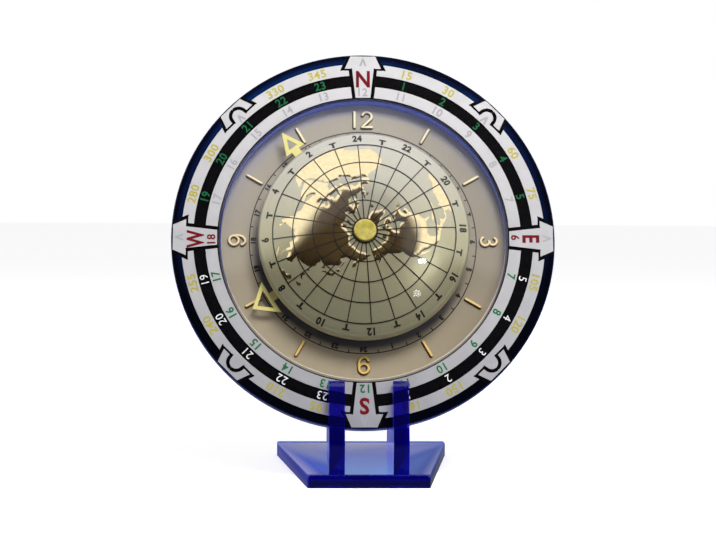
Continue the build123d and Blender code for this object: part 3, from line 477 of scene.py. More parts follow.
def letters(text, height, narrow, ink, weight):
    """Flat lettering of a cap height, centred on its own middle, ink thick; weight widens its strokes."""
    key = (text, height, narrow, ink, weight)
    if key not in letter_meshes:
        curve = bpy.data.curves.new("letters", "FONT")
        curve.body = text
        curve.size = height / cap_share
        curve.align_x = "CENTER"
        curve.extrude = ink / 2
        curve.offset = weight
        curve.space_character = letter_space
        curve.resolution_u = 3
        thing = bpy.data.objects.new("letters", curve)
        bpy.context.scene.collection.objects.link(thing)
        bpy.context.view_layer.update()
        mesh = bpy.data.meshes.new_from_object(thing.evaluated_get(bpy.context.evaluated_depsgraph_get()))
        bpy.data.objects.remove(thing)
        mesh.transform(Matrix.Translation((0, -height / 2, 0)))
        mesh.transform(Matrix.Diagonal((narrow, 1, 1, 1)))
        letter_meshes[key] = mesh
    return letter_meshes[key].copy()


def around(mesh, radius, clock_angle, spin=0.0, level=0.0):
    """Places a flat mesh at a radius and clockwise angle, its top outward, then spun about its own middle."""
    turn = Matrix.Rotation(radians(-clock_angle), 4, "Z")
    mesh.transform(turn @ Matrix.Translation((0, radius, level)) @ Matrix.Rotation(radians(spin), 4, "Z"))
    return mesh


def lettering(name, items, height, made, body, level, narrow=0.97, ink=0.05, drape=None, weight=0.14):
    """Numbers round the head: items are (text, radius, clockwise angle, spin)."""
    meshes = [
        around(letters(text, height, narrow, ink, weight), radius, angle, spin) for text, radius, angle, spin in items
    ]
    mesh = join(name, meshes)
    for vertex in mesh.vertices:
        if drape:
            vertex.co.z += drape(hypot(vertex.co.x, vertex.co.y))
        vertex.co.z += level
    return piece(name, mesh, made, body)


# The stand: base and brackets are cemented, so light passes from one into the other
def cemented(name, *names):
    """Mesh of CAD nodes joined where their faces touch."""
    things = []
    for part in names:
        built = bmesh.new()
        built.from_mesh(nodes[part].data)
        bmesh.ops.remove_doubles(built, verts=built.verts, dist=0.001 * MM)
        thing = bpy.data.objects.new(part + "_part", mesh_of(part + "_part", built))
        bpy.context.scene.collection.objects.link(thing)
        things.append(thing)
    for other in things[1:]:
        union = things[0].modifiers.new(other.name, "BOOLEAN")
        union.operation = "UNION"
        union.object = other
    bpy.context.view_layer.update()
    mesh = bpy.data.meshes.new_from_object(things[0].evaluated_get(bpy.context.evaluated_depsgraph_get()))
    for thing in things:
        bpy.data.objects.remove(thing)
    mesh.transform(Matrix.Scale(1 / MM, 4))
    mesh.name = name
    return mesh


def smooth_by_angle(thing, angle=35.0):
    """Sharp edges above an angle, smooth shading below it."""
    for polygon in thing.data.polygons:
        polygon.use_smooth = True
    thing.data.set_sharp_from_angle(angle=radians(angle))


stand_names = ("base_plate", "bracket_left", "bracket_right")
stand = piece("stand_acrylic", cemented("stand_acrylic", *stand_names), blue_acrylic, "stand", Matrix.Identity(4))
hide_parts(*stand_names)
smooth_by_angle(stand)
finger_drop = 3.1
finger_top = max((head.inverted() @ vertex.co).y for vertex in stand.data.vertices if (head.inverted() @ vertex.co).z > 0)
finger_corner = 3.6
for vertex in stand.data.vertices:
    place = head.inverted() @ vertex.co
    if place.z > -0.2 * MM and place.y > finger_top - finger_corner * MM:
        vertex.co -= upward * finger_drop * MM

# Numbers on the bezel's three tracks, every 15 degrees, tops outward
outer_number_radius = 91.6
black_number_radius = 85.3
inner_number_radius = 79.1
number_height = 3.95
print_level = track_front + 0.04
black_level = scale_front + 0.04

scale_turn = -0.4
outer_numbers = [
    (str(value), outer_number_radius, angle + scale_turn, 0)
    for value, angle in [
        (15, 15), (30, 30), (60, 60), (75, 75), (105, 105), (120, 120), (150, 150), (165, 165),
        (195, 195), (210, 210), (240, 240), (255, 255), (280, 285), (300, 300), (330, 330), (345, 345),
    ]
]
lettering("outer_numbers", outer_numbers, number_height, yellow_print, "clock_head", print_level, 1.06)


def run(values, first_angle, radius):
    """Numbers every 15 degrees from a first angle."""
    return [(str(value), radius, first_angle + scale_turn + 15 * index, 0) for index, value in enumerate(values)]


black_green = run([1, 2, 3, 4, 5], 15, black_number_radius) + run([19, 20, 21, 22, 23], 285, black_number_radius)
black_white = run([5, 4, 3, 2, 1], 105, black_number_radius) + run([23, 22, 21, 20, 19], 195, black_number_radius)
lettering("night_numbers", black_green, number_height, green_print, "clock_head", black_level)
lettering("day_numbers", black_white, number_height, white_print, "clock_head", black_level, weight=0.0)

inner_grey = run([12, 11, 10, 9, 8, 7], 0, inner_number_radius) + run([17, 16, 15, 14, 13], 285, inner_number_radius)
inner_green = run([7, 8, 9, 10, 11, 12, 13, 14, 15, 16, 17], 105, inner_number_radius)
inner_red = run([6], 90, inner_number_radius) + run([18], 269.4, inner_number_radius)
lettering("inner_pale_numbers", inner_grey, number_height, grey_print, "clock_head", print_level)
lettering("inner_green_numbers", inner_green, number_height, bright_green, "clock_head", print_level)
lettering("inner_red_numbers", inner_red, number_height, red_print, "clock_head", print_level)

compass = [("N", 86.2, 0, 8.2, 0.86), ("E", 87.2, 90, 7.9, 0.76), ("S", 88.0, 180, 7.6, 0.98), ("W", 87.2, 269.4, 8.0, 0.70)]
compass_meshes = [
    around(letters(text, height, narrow, 0.05, 0.36), radius, angle, 0, print_level)
    for text, radius, angle, height, narrow in compass
]
piece("compass_letters", join("compass_letters", compass_meshes), red_print, "clock_head")

# Small grey marks like an upside-down V, on each arrow and under each arch
mark_half_width = 1.9
mark_height = 4.2
mark_stroke = 1.0
mark_radii = (95.7, 91.0)


def mark_mesh(height):
    """One mark about its own middle, height thick."""
    half = mark_height / 2
    outline = [
        (-mark_half_width, -half), (-mark_half_width + mark_stroke, -half), (0, half - 1.6 * mark_stroke),
        (mark_half_width - mark_stroke, -half), (mark_half_width, -half), (mark_stroke / 2, half), (-mark_stroke / 2, half),
    ]
    built = bmesh.new()
    corners = [built.verts.new((across_it, up_it, 0)) for across_it, up_it in outline]
    left = built.faces.new((corners[0], corners[1], corners[2], corners[6]))
    right = built.faces.new((corners[2], corners[3], corners[4], corners[5]))
    crown = built.faces.new((corners[2], corners[5], corners[6]))
    raised = bmesh.ops.extrude_face_region(built, geom=[left, right, crown])
    bmesh.ops.translate(built, verts=[v for v in raised["geom"] if isinstance(v, bmesh.types.BMVert)], vec=(0, 0, height))
    bmesh.ops.recalc_face_normals(built, faces=built.faces)
    return mesh_of("mark", built)


# Black lines along the arrows' and tabs' own edges, which widen the dark gap round them
outline_width = 0.75
outline_rise = 0.03
arc_tolerance = 0.12
outlines = bmesh.new()
tracks = bmesh.new()
tracks.from_mesh(nodes["scale_tracks"].data)
tracks.transform(Matrix.Scale(1 / MM, 4) @ head.inverted())
bmesh.ops.remove_doubles(tracks, verts=tracks.verts, dist=0.001)
for edge in tracks.edges:
    start, end = (vertex.co for vertex in edge.verts)
    on_front = min(start.z, end.z) > track_front - 0.02
    at_rim = any(face.normal.z < 0.5 for face in edge.link_faces) and any(face.normal.z > 0.5 for face in edge.link_faces)
    along_arc = abs(hypot(start.x, start.y) - hypot(end.x, end.y)) < arc_tolerance * (end - start).length
    if not (on_front and at_rim) or along_arc:
        continue
    along = (end - start).normalized() * outline_width / 4
    side = Vector((-along.y, along.x, 0)) * 2
    low = [outlines.verts.new(Vector((p.x, p.y, track_front))) for p in (
        start - along - side, end + along - side, end + along + side, start - along + side)]
    high = [outlines.verts.new(vertex.co + Vector((0, 0, outline_rise))) for vertex in low]
    outlines.faces.new(high)
    outlines.faces.new(low[::-1])
    for index in range(4):
        after = (index + 1) % 4
        outlines.faces.new((low[index], low[after], high[after], high[index]))
tracks.free()
bmesh.ops.recalc_face_normals(outlines, faces=outlines.faces)
piece("tab_outlines", mesh_of("tab_outlines", outlines), print_black, "clock_head")

marks = [around(mark_mesh(0.05), mark_radii[index % 2], 45 * index, 0, track_front) for index in range(8)]
piece("scale_marks", join("scale_marks", marks), grey_print, "clock_head")

# The dark band outside the outer track, between the arrows' and the tabs' slanted sides
band_inner = 94.8
band_outer = 99.45
band_sides = ((10.0, 7.0), (9.8, 7.4))
band_slant = (92.2, 99.0)
band_outline = 1.25
band_steps = 24
outer_band = bmesh.new()
for gap in range(8):
    rows = []
    for step in range(band_steps + 1):
        row = []
        for radius in (band_inner, band_outer):
            ends = []
            for side in (gap % 2, 1 - gap % 2):
                foot, tip = band_sides[side]
                share = (radius - band_slant[0]) / (band_slant[1] - band_slant[0])
                ends.append(degrees(asin((foot + (tip - foot) * share + band_outline) / radius)))
            angle = radians(45 * gap + ends[0] + (45 - ends[0] - ends[1]) * step / band_steps)
            row += [(radius * sin(angle), radius * cos(angle), scale_front + rise) for rise in (0.0, 0.03)]
        rows.append([outer_band.verts.new(row[index]) for index in (0, 2, 3, 1)])
    for row, following in zip(rows, rows[1:]):
        for index in range(4):
            after = (index + 1) % 4
            outer_band.faces.new((row[index], row[after], following[after], following[index]))
    outer_band.faces.new(rows[0][::-1])
    outer_band.faces.new(rows[-1])
bmesh.ops.recalc_face_normals(outer_band, faces=outer_band.faces)
piece("outer_band", mesh_of("outer_band", outer_band), band_navy, "clock_head")

# The world disc as one smooth pressed dome: flat middle, crown, shoulder and rolled rim
disc_outer = reach("world_disc")[1]
disc_top = reach("world_disc")[3]
disc_edge = reach("world_disc")[2]
flat_radius = 7.0
crown_radius = 430.0
crown_reach = 20.0
rim_radius = 3.0
rim_level = 4.7
disc_sheet = 0.8
stud_hole = reach("world_disc")[0]
crown_turn = asin((crown_reach - flat_radius) / crown_radius)
crown_centre = (flat_radius, disc_top - crown_radius)
rim_centre = (disc_outer - rim_radius, rim_level)
crown_end = (crown_centre[0] + crown_radius * sin(crown_turn), crown_centre[1] + crown_radius * cos(crown_turn))
rim_across, rim_up = rim_centre[0] - crown_end[0], rim_centre[1] - crown_end[1]
rim_distance = rim_radius + rim_across * sin(crown_turn) + rim_up * cos(crown_turn)
shoulder_radius = (rim_radius**2 - rim_across**2 - rim_up**2) / (2 * rim_distance)
shoulder_centre = (crown_end[0] - shoulder_radius * sin(crown_turn), crown_end[1] - shoulder_radius * cos(crown_turn))
shoulder_turn = asin((rim_centre[0] - shoulder_centre[0]) / (shoulder_radius - rim_radius))


def dome_level(radius):
    """Level of the world disc's front at a radius."""
    if radius < flat_radius:
        return disc_top
    if radius < crown_reach:
        return crown_centre[1] + sqrt(crown_radius**2 - (radius - crown_centre[0])**2)
    if radius < rim_centre[0] + rim_radius * sin(shoulder_turn):
        return shoulder_centre[1] + sqrt(shoulder_radius**2 - (radius - shoulder_centre[0])**2)
    return rim_centre[1] + sqrt(max(0.0, rim_radius**2 - (radius - rim_centre[0])**2))


def turned(name, profile, steps=192):
    """Mesh of a closed profile of (radius, level) points, turned about the head's axis."""
    built = bmesh.new()
    rings = []
    for radius, level in profile:
        angles = [2 * pi * step / steps for step in range(steps)]
        rings.append([built.verts.new((radius * cos(a), radius * sin(a), level)) for a in angles])
    for ring, following in zip(rings, rings[1:] + rings[:1]):
        for step in range(steps):
            after = (step + 1) % steps
            built.faces.new((ring[step], ring[after], following[after], following[step]))
    bmesh.ops.recalc_face_normals(built, faces=built.faces)
    for face in built.faces:
        face.smooth = True
    return mesh_of(name, built)


# A black seal between the crystal and the scale, and the ring's blue wall behind the crystal's skirt, which carries a
# painted glow
seal_inner = ring_opening - 0.18
seal_outer = ring_opening + 0.25
seal_top = scale_front + 0.34
seal_profile = [
    (seal_inner, scale_front - 0.2), (seal_inner, seal_top - 0.1), (seal_inner + 0.12, seal_top),
    (seal_outer - 0.15, seal_top), (seal_outer, scale_front + 0.02), (seal_outer, scale_front - 0.2),
]
piece("crystal_seal", turned("crystal_seal", seal_profile), seal_black, "clock_head")
skirt_bore = ring_opening - 1.7
wall_profile = [
    (skirt_bore + 0.08, dial_front + 0.02), (skirt_bore + 0.18, dial_front + 0.02),
    (skirt_bore + 0.18, scale_front - 0.5), (skirt_bore + 0.08, scale_front - 0.5),
]
piece("opening_wall", turned("opening_wall", wall_profile), wall_blue, "clock_head")

dome_steps = 44
dome_radii = [stud_hole + (rim_centre[0] - stud_hole) * step / dome_steps for step in range(dome_steps + 1)]
rim_steps = 10
front_profile = [(radius, dome_level(radius)) for radius in dome_radii]
for step in range(1, rim_steps + 1):
    angle = pi / 2 * (1 - step / rim_steps)
    front_profile.append((rim_centre[0] + rim_radius * cos(angle), rim_centre[1] + rim_radius * sin(angle)))
back_profile = []
for (radius, level), (before, after) in zip(
    front_profile, [(front_profile[max(0, i - 1)], front_profile[min(len(front_profile) - 1, i + 1)]) for i in range(len(front_profile))]
):
    run_out = Vector((after[0] - before[0], after[1] - before[1])).normalized()
    back_profile.append((radius + run_out.y * disc_sheet, level - run_out.x * disc_sheet))
back_profile[0] = (stud_hole, disc_top - disc_sheet)
skirt = [(disc_outer, disc_edge), (disc_outer - disc_sheet, disc_edge)]
dome = piece("world_dome", turned("world_dome", front_profile + skirt + back_profile[::-1]), ocean, "day_work")
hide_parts("world_disc")
smooth_by_angle(dome)

# World map on the dome: a polar map, its outlines drawn as longitude and latitude
map_zero = -4.0
map_pole_radius = 0.68
map_degree = 0.5167
map_edge_radius = 47.18
map_lift = 0.2
coast_step = 0.7
coast_wander = 0.16
land_step = 1.0

old_world = [
    (9.5, 0), (9, 4), (4, 6), (-4.5, 5), (-8, 4.5), (-13, 9), (-17, 14.5), (-17, 21), (-13, 27.5), (-9.5, 31),
    (-6, 35.8), (-2, 35), (3, 36.8), (10, 37.2), (11, 34), (15, 32.2), (19.5, 30.5), (22, 32.8), (29, 31),
    (33, 31.2), (35, 32.5), (36, 36.6), (31, 36.3), (27.5, 36.8), (26.5, 39.5), (25.5, 40.8), (23.8, 40.3),
    (24, 38), (22.5, 36.6), (20, 39.5), (19.5, 42), (15.5, 44), (13.5, 45.5), (13.5, 43.5), (18.3, 40.2),
    (16, 38.2), (12.3, 41.7), (8.8, 44.4), (4, 43.4), (3, 42), (-0.3, 39.5), (-2, 36.8), (-5.6, 36), (-9, 37),
    (-9.3, 43), (-2, 43.4), (-1.3, 46), (-4.6, 48.4), (-1.5, 49.2), (3, 51.2), (8.5, 53.8), (8.2, 57),
    (10.5, 57.5), (10.9, 54.3), (14, 54), (19, 54.5), (21.5, 57.3), (24, 59), (29, 60), (22.5, 60.2),
    (21.5, 63), (25, 65.5), (17.5, 62), (17, 58.5), (12.8, 55.5), (11, 59), (5.5, 59), (5, 62), (12, 66.5),
    (19, 70), (28, 71), (40, 67.5), (34, 66.5), (40, 64.5), (44, 68), (55, 68.5), (68, 68.5), (67, 72.5),
    (73, 72), (73, 68), (80, 73), (105, 77.5), (113, 74), (130, 71.5), (140, 72.5), (160, 70), (178, 69),
    (190, 66), (181, 64.5), (178, 62.5), (170, 60), (163, 58), (162, 55), (156.7, 51.2), (156, 57),
    (163, 61.5), (155, 59.3), (142, 59.2), (135.5, 54.7), (140.5, 52.5), (140, 48), (132, 43.2),
    (127.8, 39.5), (129.3, 36), (126.5, 34.5), (126, 38), (121.5, 39), (121.8, 40.8), (118, 39), (122, 37),
    (119.5, 35), (121.8, 31), (120, 26.5), (113.5, 22.3), (110, 20.8), (106, 20), (109, 13), (106.5, 9.5),
    (105, 9), (102, 13), (100, 13), (99.5, 9), (103.5, 1.5), (101, 3), (98.5, 8.5), (97.5, 16.5), (94.3, 16),
    (91.5, 22.5), (87, 21.5), (82, 16.5), (80, 13), (79.5, 10), (77.5, 8), (73.8, 16), (72.7, 20.5),
    (70, 21), (67, 24.8), (57.5, 25.7), (56, 27), (51, 28), (48, 30.3), (50, 26.5), (51.5, 25), (54.5, 24),
    (56.3, 26), (59.8, 22.5), (55, 17.5), (45, 12.8), (43, 13), (39, 21), (35, 28), (32.5, 29.9), (37, 21),
    (39.5, 15), (43, 11.5), (51.2, 11.8), (47.5, 4), (43, 0),
]
new_world = [
    (-168, 65.7), (-162, 66.5), (-166, 68.5), (-156.5, 71.3), (-141, 69.7), (-128, 70.3), (-115, 68),
    (-95, 68), (-94, 72), (-88, 68.5), (-82, 69.5), (-82, 67), (-87, 64.5), (-94, 61), (-94, 58.5),
    (-88, 56.5), (-82, 55), (-80, 51.3), (-79, 54.5), (-77, 57), (-78, 62), (-73, 62), (-69.5, 59),
    (-65, 60), (-62, 57), (-56, 52.5), (-60, 50.2), (-66.5, 50), (-71, 47), (-65, 48.9), (-64.5, 46.5),
    (-61, 46), (-66, 43.7), (-70, 43.5), (-70, 41.7), (-74, 40.5), (-76, 37), (-75.7, 35.3), (-81.2, 31.5),
    (-80.2, 26), (-81, 25.2), (-82.7, 28), (-84, 30), (-89.3, 29.5), (-94.5, 29.4), (-97.3, 27),
    (-97.5, 22), (-95.5, 18.7), (-91.5, 18.5), (-90.3, 21), (-87, 21.3), (-88.3, 17), (-88.5, 15.8),
    (-83.3, 15), (-83.7, 11), (-81.5, 9), (-79.5, 9.6), (-77, 8.3), (-75.5, 10.7), (-72, 12), (-71.5, 10.5),
    (-67, 10.6), (-62, 10.7), (-57, 6), (-52, 5), (-50, 0), (-80, 0), (-79, 2), (-77.3, 4), (-78, 8),
    (-80, 7.4), (-83, 8.3), (-86, 11), (-88, 13.2), (-94, 16), (-99.5, 16.6), (-105.5, 20), (-106, 23),
    (-109.5, 26.5), (-112.8, 31), (-114.7, 31.7), (-111, 25.5), (-109.5, 23), (-112, 25.5), (-115, 28.5),
    (-117, 32.5), (-120.6, 34.5), (-123.8, 39), (-124, 46), (-123, 48.5), (-128, 51), (-133, 55.5),
    (-139, 59.7), (-146, 60.8), (-151, 59.5), (-154, 58.5), (-163, 54.8), (-158, 58.5), (-162, 59),
    (-165.5, 62), (-161, 64.5),
]
islands = [
    [(-45, 60), (-53, 66), (-55, 70), (-68, 76), (-73, 78.3), (-60, 82), (-32, 83.5), (-18, 80), (-20, 75),
     (-22, 70.5), (-32, 68), (-40, 65)],
    [(-65, 62), (-78, 64.5), (-72, 67.5), (-88, 70.5), (-88, 73.5), (-80, 73.7), (-68, 70), (-62, 66.5)],
    [(-105, 69), (-117, 69.5), (-117, 73), (-107, 73)],
    [(-90, 77), (-78, 76.5), (-65, 81), (-75, 83), (-92, 81)],
    [(-85, 22), (-82, 23.2), (-74.2, 20.2), (-77.5, 19.9)],
    [(-74.4, 18.5), (-72, 19.9), (-68.4, 18.6)],
    [(-59, 47.7), (-55.5, 51.5), (-53, 47)],
    [(-5.5, 50), (1.3, 51.2), (1.5, 53), (-1.5, 55), (-2, 57.5), (-5, 58.5), (-5, 55.5), (-3, 54), (-4.5, 52.5)],
    [(-10, 52), (-6.5, 52.3), (-6.5, 55), (-8.5, 54.8)],
    [(-24, 65.5), (-22, 64), (-18, 63.4), (-14, 65), (-16, 66.5), (-22, 66.4)],
    [(52, 71), (57, 71), (68, 76.5), (60, 76), (53, 73)],
    [(12, 79), (17, 76.7), (25, 79.5), (20, 80.5)],
    [(130, 31.5), (132, 34), (136, 33.5), (140.8, 35.5), (142, 39.5), (140.5, 41.3), (139.5, 38.5),
     (136.5, 37), (132, 35.3), (130, 33.5)],
    [(140, 42), (143.2, 42), (145.3, 43.5), (142, 45.4)],
    [(142, 46), (143.5, 49), (143.5, 54), (142.3, 53), (142, 49)],
    [(120.2, 23), (120.9, 22), (121.8, 25)],
    [(80, 9.5), (81.8, 7), (80.2, 6)],
    [(120.3, 16.5), (121, 18.5), (122.3, 18.3), (121.6, 15.5), (124, 12.8), (120.7, 14)],
    [(122, 7.5), (125.5, 9.7), (126.3, 7), (124.5, 6)],
    [(109.2, 1.5), (111, 2.6), (113.5, 3.5), (116.8, 7), (119, 5), (118, 2), (118, 0), (109, 0)],
    [(95.3, 5.6), (98, 4.3), (100.5, 2.5), (103.5, 0), (99.5, 0), (98.7, 1.8)],
    [(108.7, 19.2), (110.5, 20), (110.3, 18.5)],
]
inland_seas = [
    [(28.5, 43.8), (31, 46.3), (33.5, 44.8), (34.5, 46.8), (39, 47), (37.5, 45), (41, 42), (35, 42), (29.5, 41.4)],
    [(50, 46.5), (53, 45), (51, 43), (53, 41), (54, 37.2), (50, 37.5), (49.5, 40.5), (47.5, 43)],
]


def on_map(longitude, latitude):
    """Place on the disc, seen from the front, of a point of the earth."""
    angle = radians(map_zero - longitude)
    radius = map_pole_radius + map_degree * (90 - latitude)
    return Vector((radius * sin(angle), radius * cos(angle)))


def coast(points, chance):
    """Closed outline on the disc, with short steps that wander a little."""
    outline = []
    for (east, north), (next_east, next_north) in zip(points, points[1:] + points[:1]):
        start, end = on_map(east, north), on_map(next_east, next_north)
        along = north == 0 and next_north == 0
        steps = max(1, round((start - end).length / coast_step))
        if along:
            steps = max(steps, round(abs(next_east - east)))
        for step in range(steps):
            share = step / steps
            place = on_map(east + (next_east - east) * share, north + (next_north - north) * share)
            if not along and step:
                place += Vector((chance.uniform(-1, 1), chance.uniform(-1, 1))) * coast_wander
            outline.append(place * min(1.0, map_edge_radius / place.length))
    return outline


def encloses(outline, place):
    """Whether a closed outline goes round a place."""
    inside = False
    for first, second in zip(outline, outline[1:] + outline[:1]):
        if (first.y > place.y) != (second.y > place.y):
            crossing = first.x + (place.y - first.y) / (second.y - first.y) * (second.x - first.x)
            inside = inside != (place.x < crossing)
    return inside


def land_mesh():
    """Land as low relief on the dome: its coasts lie on the sheet and its middle stands a little higher."""
    chance = Random(7)
    seas = [coast(points, chance) for points in inland_seas]
    built = bmesh.new()
    for points in [old_world, new_world, *islands]:
        outline = coast(points, chance)
        places = list(outline)
        edges = []
        for sea in seas:
            if encloses(outline, sea[0]):
                first = len(places)
                places += sea
                edges += [(first + index, first + (index + 1) % len(sea)) for index in range(len(sea))]
        border = len(places)
        low_x, high_x = min(p.x for p in outline), max(p.x for p in outline)
        low_y, high_y = min(p.y for p in outline), max(p.y for p in outline)
        row = 0
        while low_y + row * land_step < high_y:
            column = 0
            while low_x + column * land_step < high_x:
                place = Vector((low_x + (column + row % 2 / 2) * land_step, low_y + row * land_step))
                clear = all((place - near).length > land_step * 0.55 for near in places[:border])
                if clear and encloses(outline, place):
                    places.append(place)
                column += 1
            row += 1
        found, _, triangles, origins, _, _ = delaunay_2d_cdt(places, edges, [list(range(len(outline)))], 1, 1e-4)
        corners = []
        for place, origin in zip(found, origins):
            on_coast = any(index < border for index in origin)
            level = dome_level(place.length) + (0.015 if on_coast else map_lift)
            corners.append(built.verts.new((place.x, place.y, level)))
        for triangle in triangles:
            middle = sum((found[index] for index in triangle), Vector((0, 0))) / 3
            if not any(encloses(sea, middle) for sea in seas):
                face = built.faces.new([corners[index] for index in triangle])
                face.smooth = True
                if face.normal.z < 0:
                    face.normal_flip()
    bmesh.ops.recalc_face_normals(built, faces=built.faces)
    for face in built.faces:
        face.normal_update()
    if sum(face.normal.z for face in built.faces) < 0:
        bmesh.ops.reverse_faces(built, faces=built.faces)
    return mesh_of("map_land", built)


piece("map_land", land_mesh(), land_gold, "day_work")


def strip(built, places, width, height):
    """Thin printed line through places; each place has a level, and the line is height thick."""
    rows = []
    for index, place in enumerate(places):
        before, after = places[max(0, index - 1)], places[min(len(places) - 1, index + 1)]
        along = Vector((after.x - before.x, after.y - before.y, 0)).normalized()
        side = Vector((-along.y, along.x, 0)) * width / 2
        corners = [place - side, place + side, place + side + Vector((0, 0, height)), place - side + Vector((0, 0, height))]
        rows.append([built.verts.new(corner) for corner in corners])
    for row, following in zip(rows, rows[1:]):
        for index in range(4):
            after = (index + 1) % 4
            built.faces.new((row[index], row[after], following[after], following[index]))
    built.faces.new(rows[0][::-1])
    built.faces.new(rows[-1])


def band(built, radius, width, level, height, steps=240):
    """Thin printed circle; level is a number or a rule of the radius."""
    rows = []
    for step in range(steps):
        angle = 2 * pi * step / steps
        row = []
        for reach_out, rise in ((-width / 2, 0), (width / 2, 0), (width / 2, height), (-width / 2, height)):
            r = radius + reach_out
            base = level(r) if callable(level) else level
            row.append(built.verts.new((r * cos(angle), r * sin(angle), base + rise)))
        rows.append(row)
    for row, following in zip(rows, rows[1:] + rows[:1]):
        for index in range(4):
            after = (index + 1) % 4
            built.faces.new((row[index], row[after], following[after], following[index]))


grid_width = 0.52
grid_height = 0.32
parallel_radii = (16.16, 26.61, 36.91, map_edge_radius)
meridian_start = 6.0
meridian_count = 24
meridian_steps = 36
grid = bmesh.new()
for radius in parallel_radii:
    band(grid, radius, grid_width, dome_level, grid_height)
for meridian in range(meridian_count):
    angle = radians(map_zero + 360 / meridian_count * meridian)
    line = []
    for step in range(meridian_steps + 1):
        radius = meridian_start + (map_edge_radius - meridian_start) * step / meridian_steps
        line.append(Vector((radius * sin(angle), radius * cos(angle), dome_level(radius))))
    strip(grid, line, grid_width, grid_height)
piece("map_grid", mesh_of("map_grid", grid), black_ink, "day_work")

# Labels and pointers round the rim of the world disc
label_radius = 51.0
label_height = 3.2
pointer_radius = 49.6
pointer_height = 2.6
pointer_offset = 11.0
labels = [(str((24 - 2 * index) % 24 or 24), label_radius, map_zero + 30 * index, 0) for index in range(12)]
lettering("disc_labels", labels, label_height, black_ink, "day_work", 0.03, 0.95, 0.06, dome_level, 0.26)
pointers = [("T", pointer_radius, pointer_offset + 30 * index, 0) for index in range(12)]
lettering("disc_pointers", pointers, pointer_height, black_ink, "day_work", 0.03, 1.35, 0.06, dome_level, 0.24)

# Printing on the dial: a thin circle with ticks inside it and the 24 hours
dial_circle_radius = 59.37
dial_line = 0.55
dial_ink = 0.04
tick_length = 1.7
dial_number_radius = 57.2
dial_print = bmesh.new()
band(dial_print, dial_circle_radius, dial_line, dial_front, dial_ink)
for index in range(24):
    angle = radians(7.5 + 15 * index)
    heading = Vector((sin(angle), cos(angle), 0))
    start = heading * dial_circle_radius + Vector((0, 0, dial_front))
    strip(dial_print, [start, start - heading * tick_length], dial_line, dial_ink)
piece("dial_printing", mesh_of("dial_printing", dial_print), black_ink, "clock_head")
dial_numbers = [(str((12 - index) % 24 or 24), dial_number_radius, 15 * index, 0) for index in range(24)]
lettering("dial_numbers", dial_numbers, 2.4, black_ink, "clock_head", dial_front + dial_ink / 2, weight=0.26)

# Applied numerals and bars as round-backed strokes along the middles of their CAD strokes
marker_height = 1.4
marker_width = 2.05
marker_radius = 65.8
marker_half = 4.15
bowl_radius = 2.45
bowl_middle = bowl_radius - marker_half
three_upper_radius = 1.9
three_lower_radius = marker_half - three_upper_radius
section_steps = 10
cap_steps = 4


def arc(middle, radius, start, sweep, steps=20):
    """Places along an arc, its angles counterclockwise in degrees."""
    angles = [radians(start + sweep * step / steps) for step in range(steps + 1)]
    return [Vector((middle[0] + radius * cos(a), middle[1] + radius * sin(a))) for a in angles]


def smooth_line(corners, steps=6):
    """Places along a smooth line through a few corners."""
    ends = [corners[0], *corners, corners[-1]]
    line = []
    for before, start, end, after in zip(ends, ends[1:], ends[2:], ends[3:]):
        for step in range(steps):
            t = step / steps
            line.append(Vector([
                0.5 * (2 * q + (r - p) * t + (2 * p - 5 * q + 4 * r - s) * t**2 + (3 * q - p - 3 * r + s) * t**3)
                for p, q, r, s in zip(before, start, end, after)
            ]))
    return [*line, Vector(corners[-1])]


def round_stroke(built, places):
    """Stroke with a half-round back and round ends, on level 0."""
    rows = []
    last = len(places) - 1
    sections = []
    for index, place in enumerate(places):
        along = (places[min(last, index + 1)] - places[max(0, index - 1)]).normalized()
        sections.append((place, along, 1.0))
    for end, outward_way in ((0, -1), (last, 1)):
        along = sections[end if end == 0 else -1][1]
        caps = []
        for step in range(1, cap_steps + 1):
            angle = pi / 2 * step / (cap_steps + 0.25)
            caps.append((places[end] + along * outward_way * sin(angle) * marker_width / 2, along, cos(angle)))
        sections = caps[::-1] + sections if end == 0 else sections + caps
    for place, along, share in sections:
        side = Vector((-along.y, along.x))
        row = []
        for step in range(section_steps + 1):
            angle = pi * step / section_steps
            flat = place + side * cos(angle) * share * marker_width / 2
            row.append(built.verts.new((flat.x, flat.y, sin(angle) * share * marker_height)))
        rows.append(row)
    for row, following in zip(rows, rows[1:]):
        for index in range(section_steps + 1):
            after = (index + 1) % (section_steps + 1)
            built.faces.new((row[index], row[after], following[after], following[index]))
    built.faces.new(rows[0][::-1])
    built.faces.new(rows[-1])


def marker_mesh(lines, middle, turn=0.0):
    """Mesh of round strokes about a place on the dial, turned counterclockwise in degrees."""
    built = bmesh.new()
    for line in lines:
        round_stroke(built, line)
    bmesh.ops.recalc_face_normals(built, faces=built.faces)
    mesh = mesh_of("marker", built)
    mesh.transform(Matrix.Translation((middle[0], middle[1], dial_front)) @ Matrix.Rotation(radians(turn), 4, "Z"))
    return mesh


def shifted(line, sideways):
    """A line moved to the side."""
    return [place + Vector((sideways, 0)) for place in line]


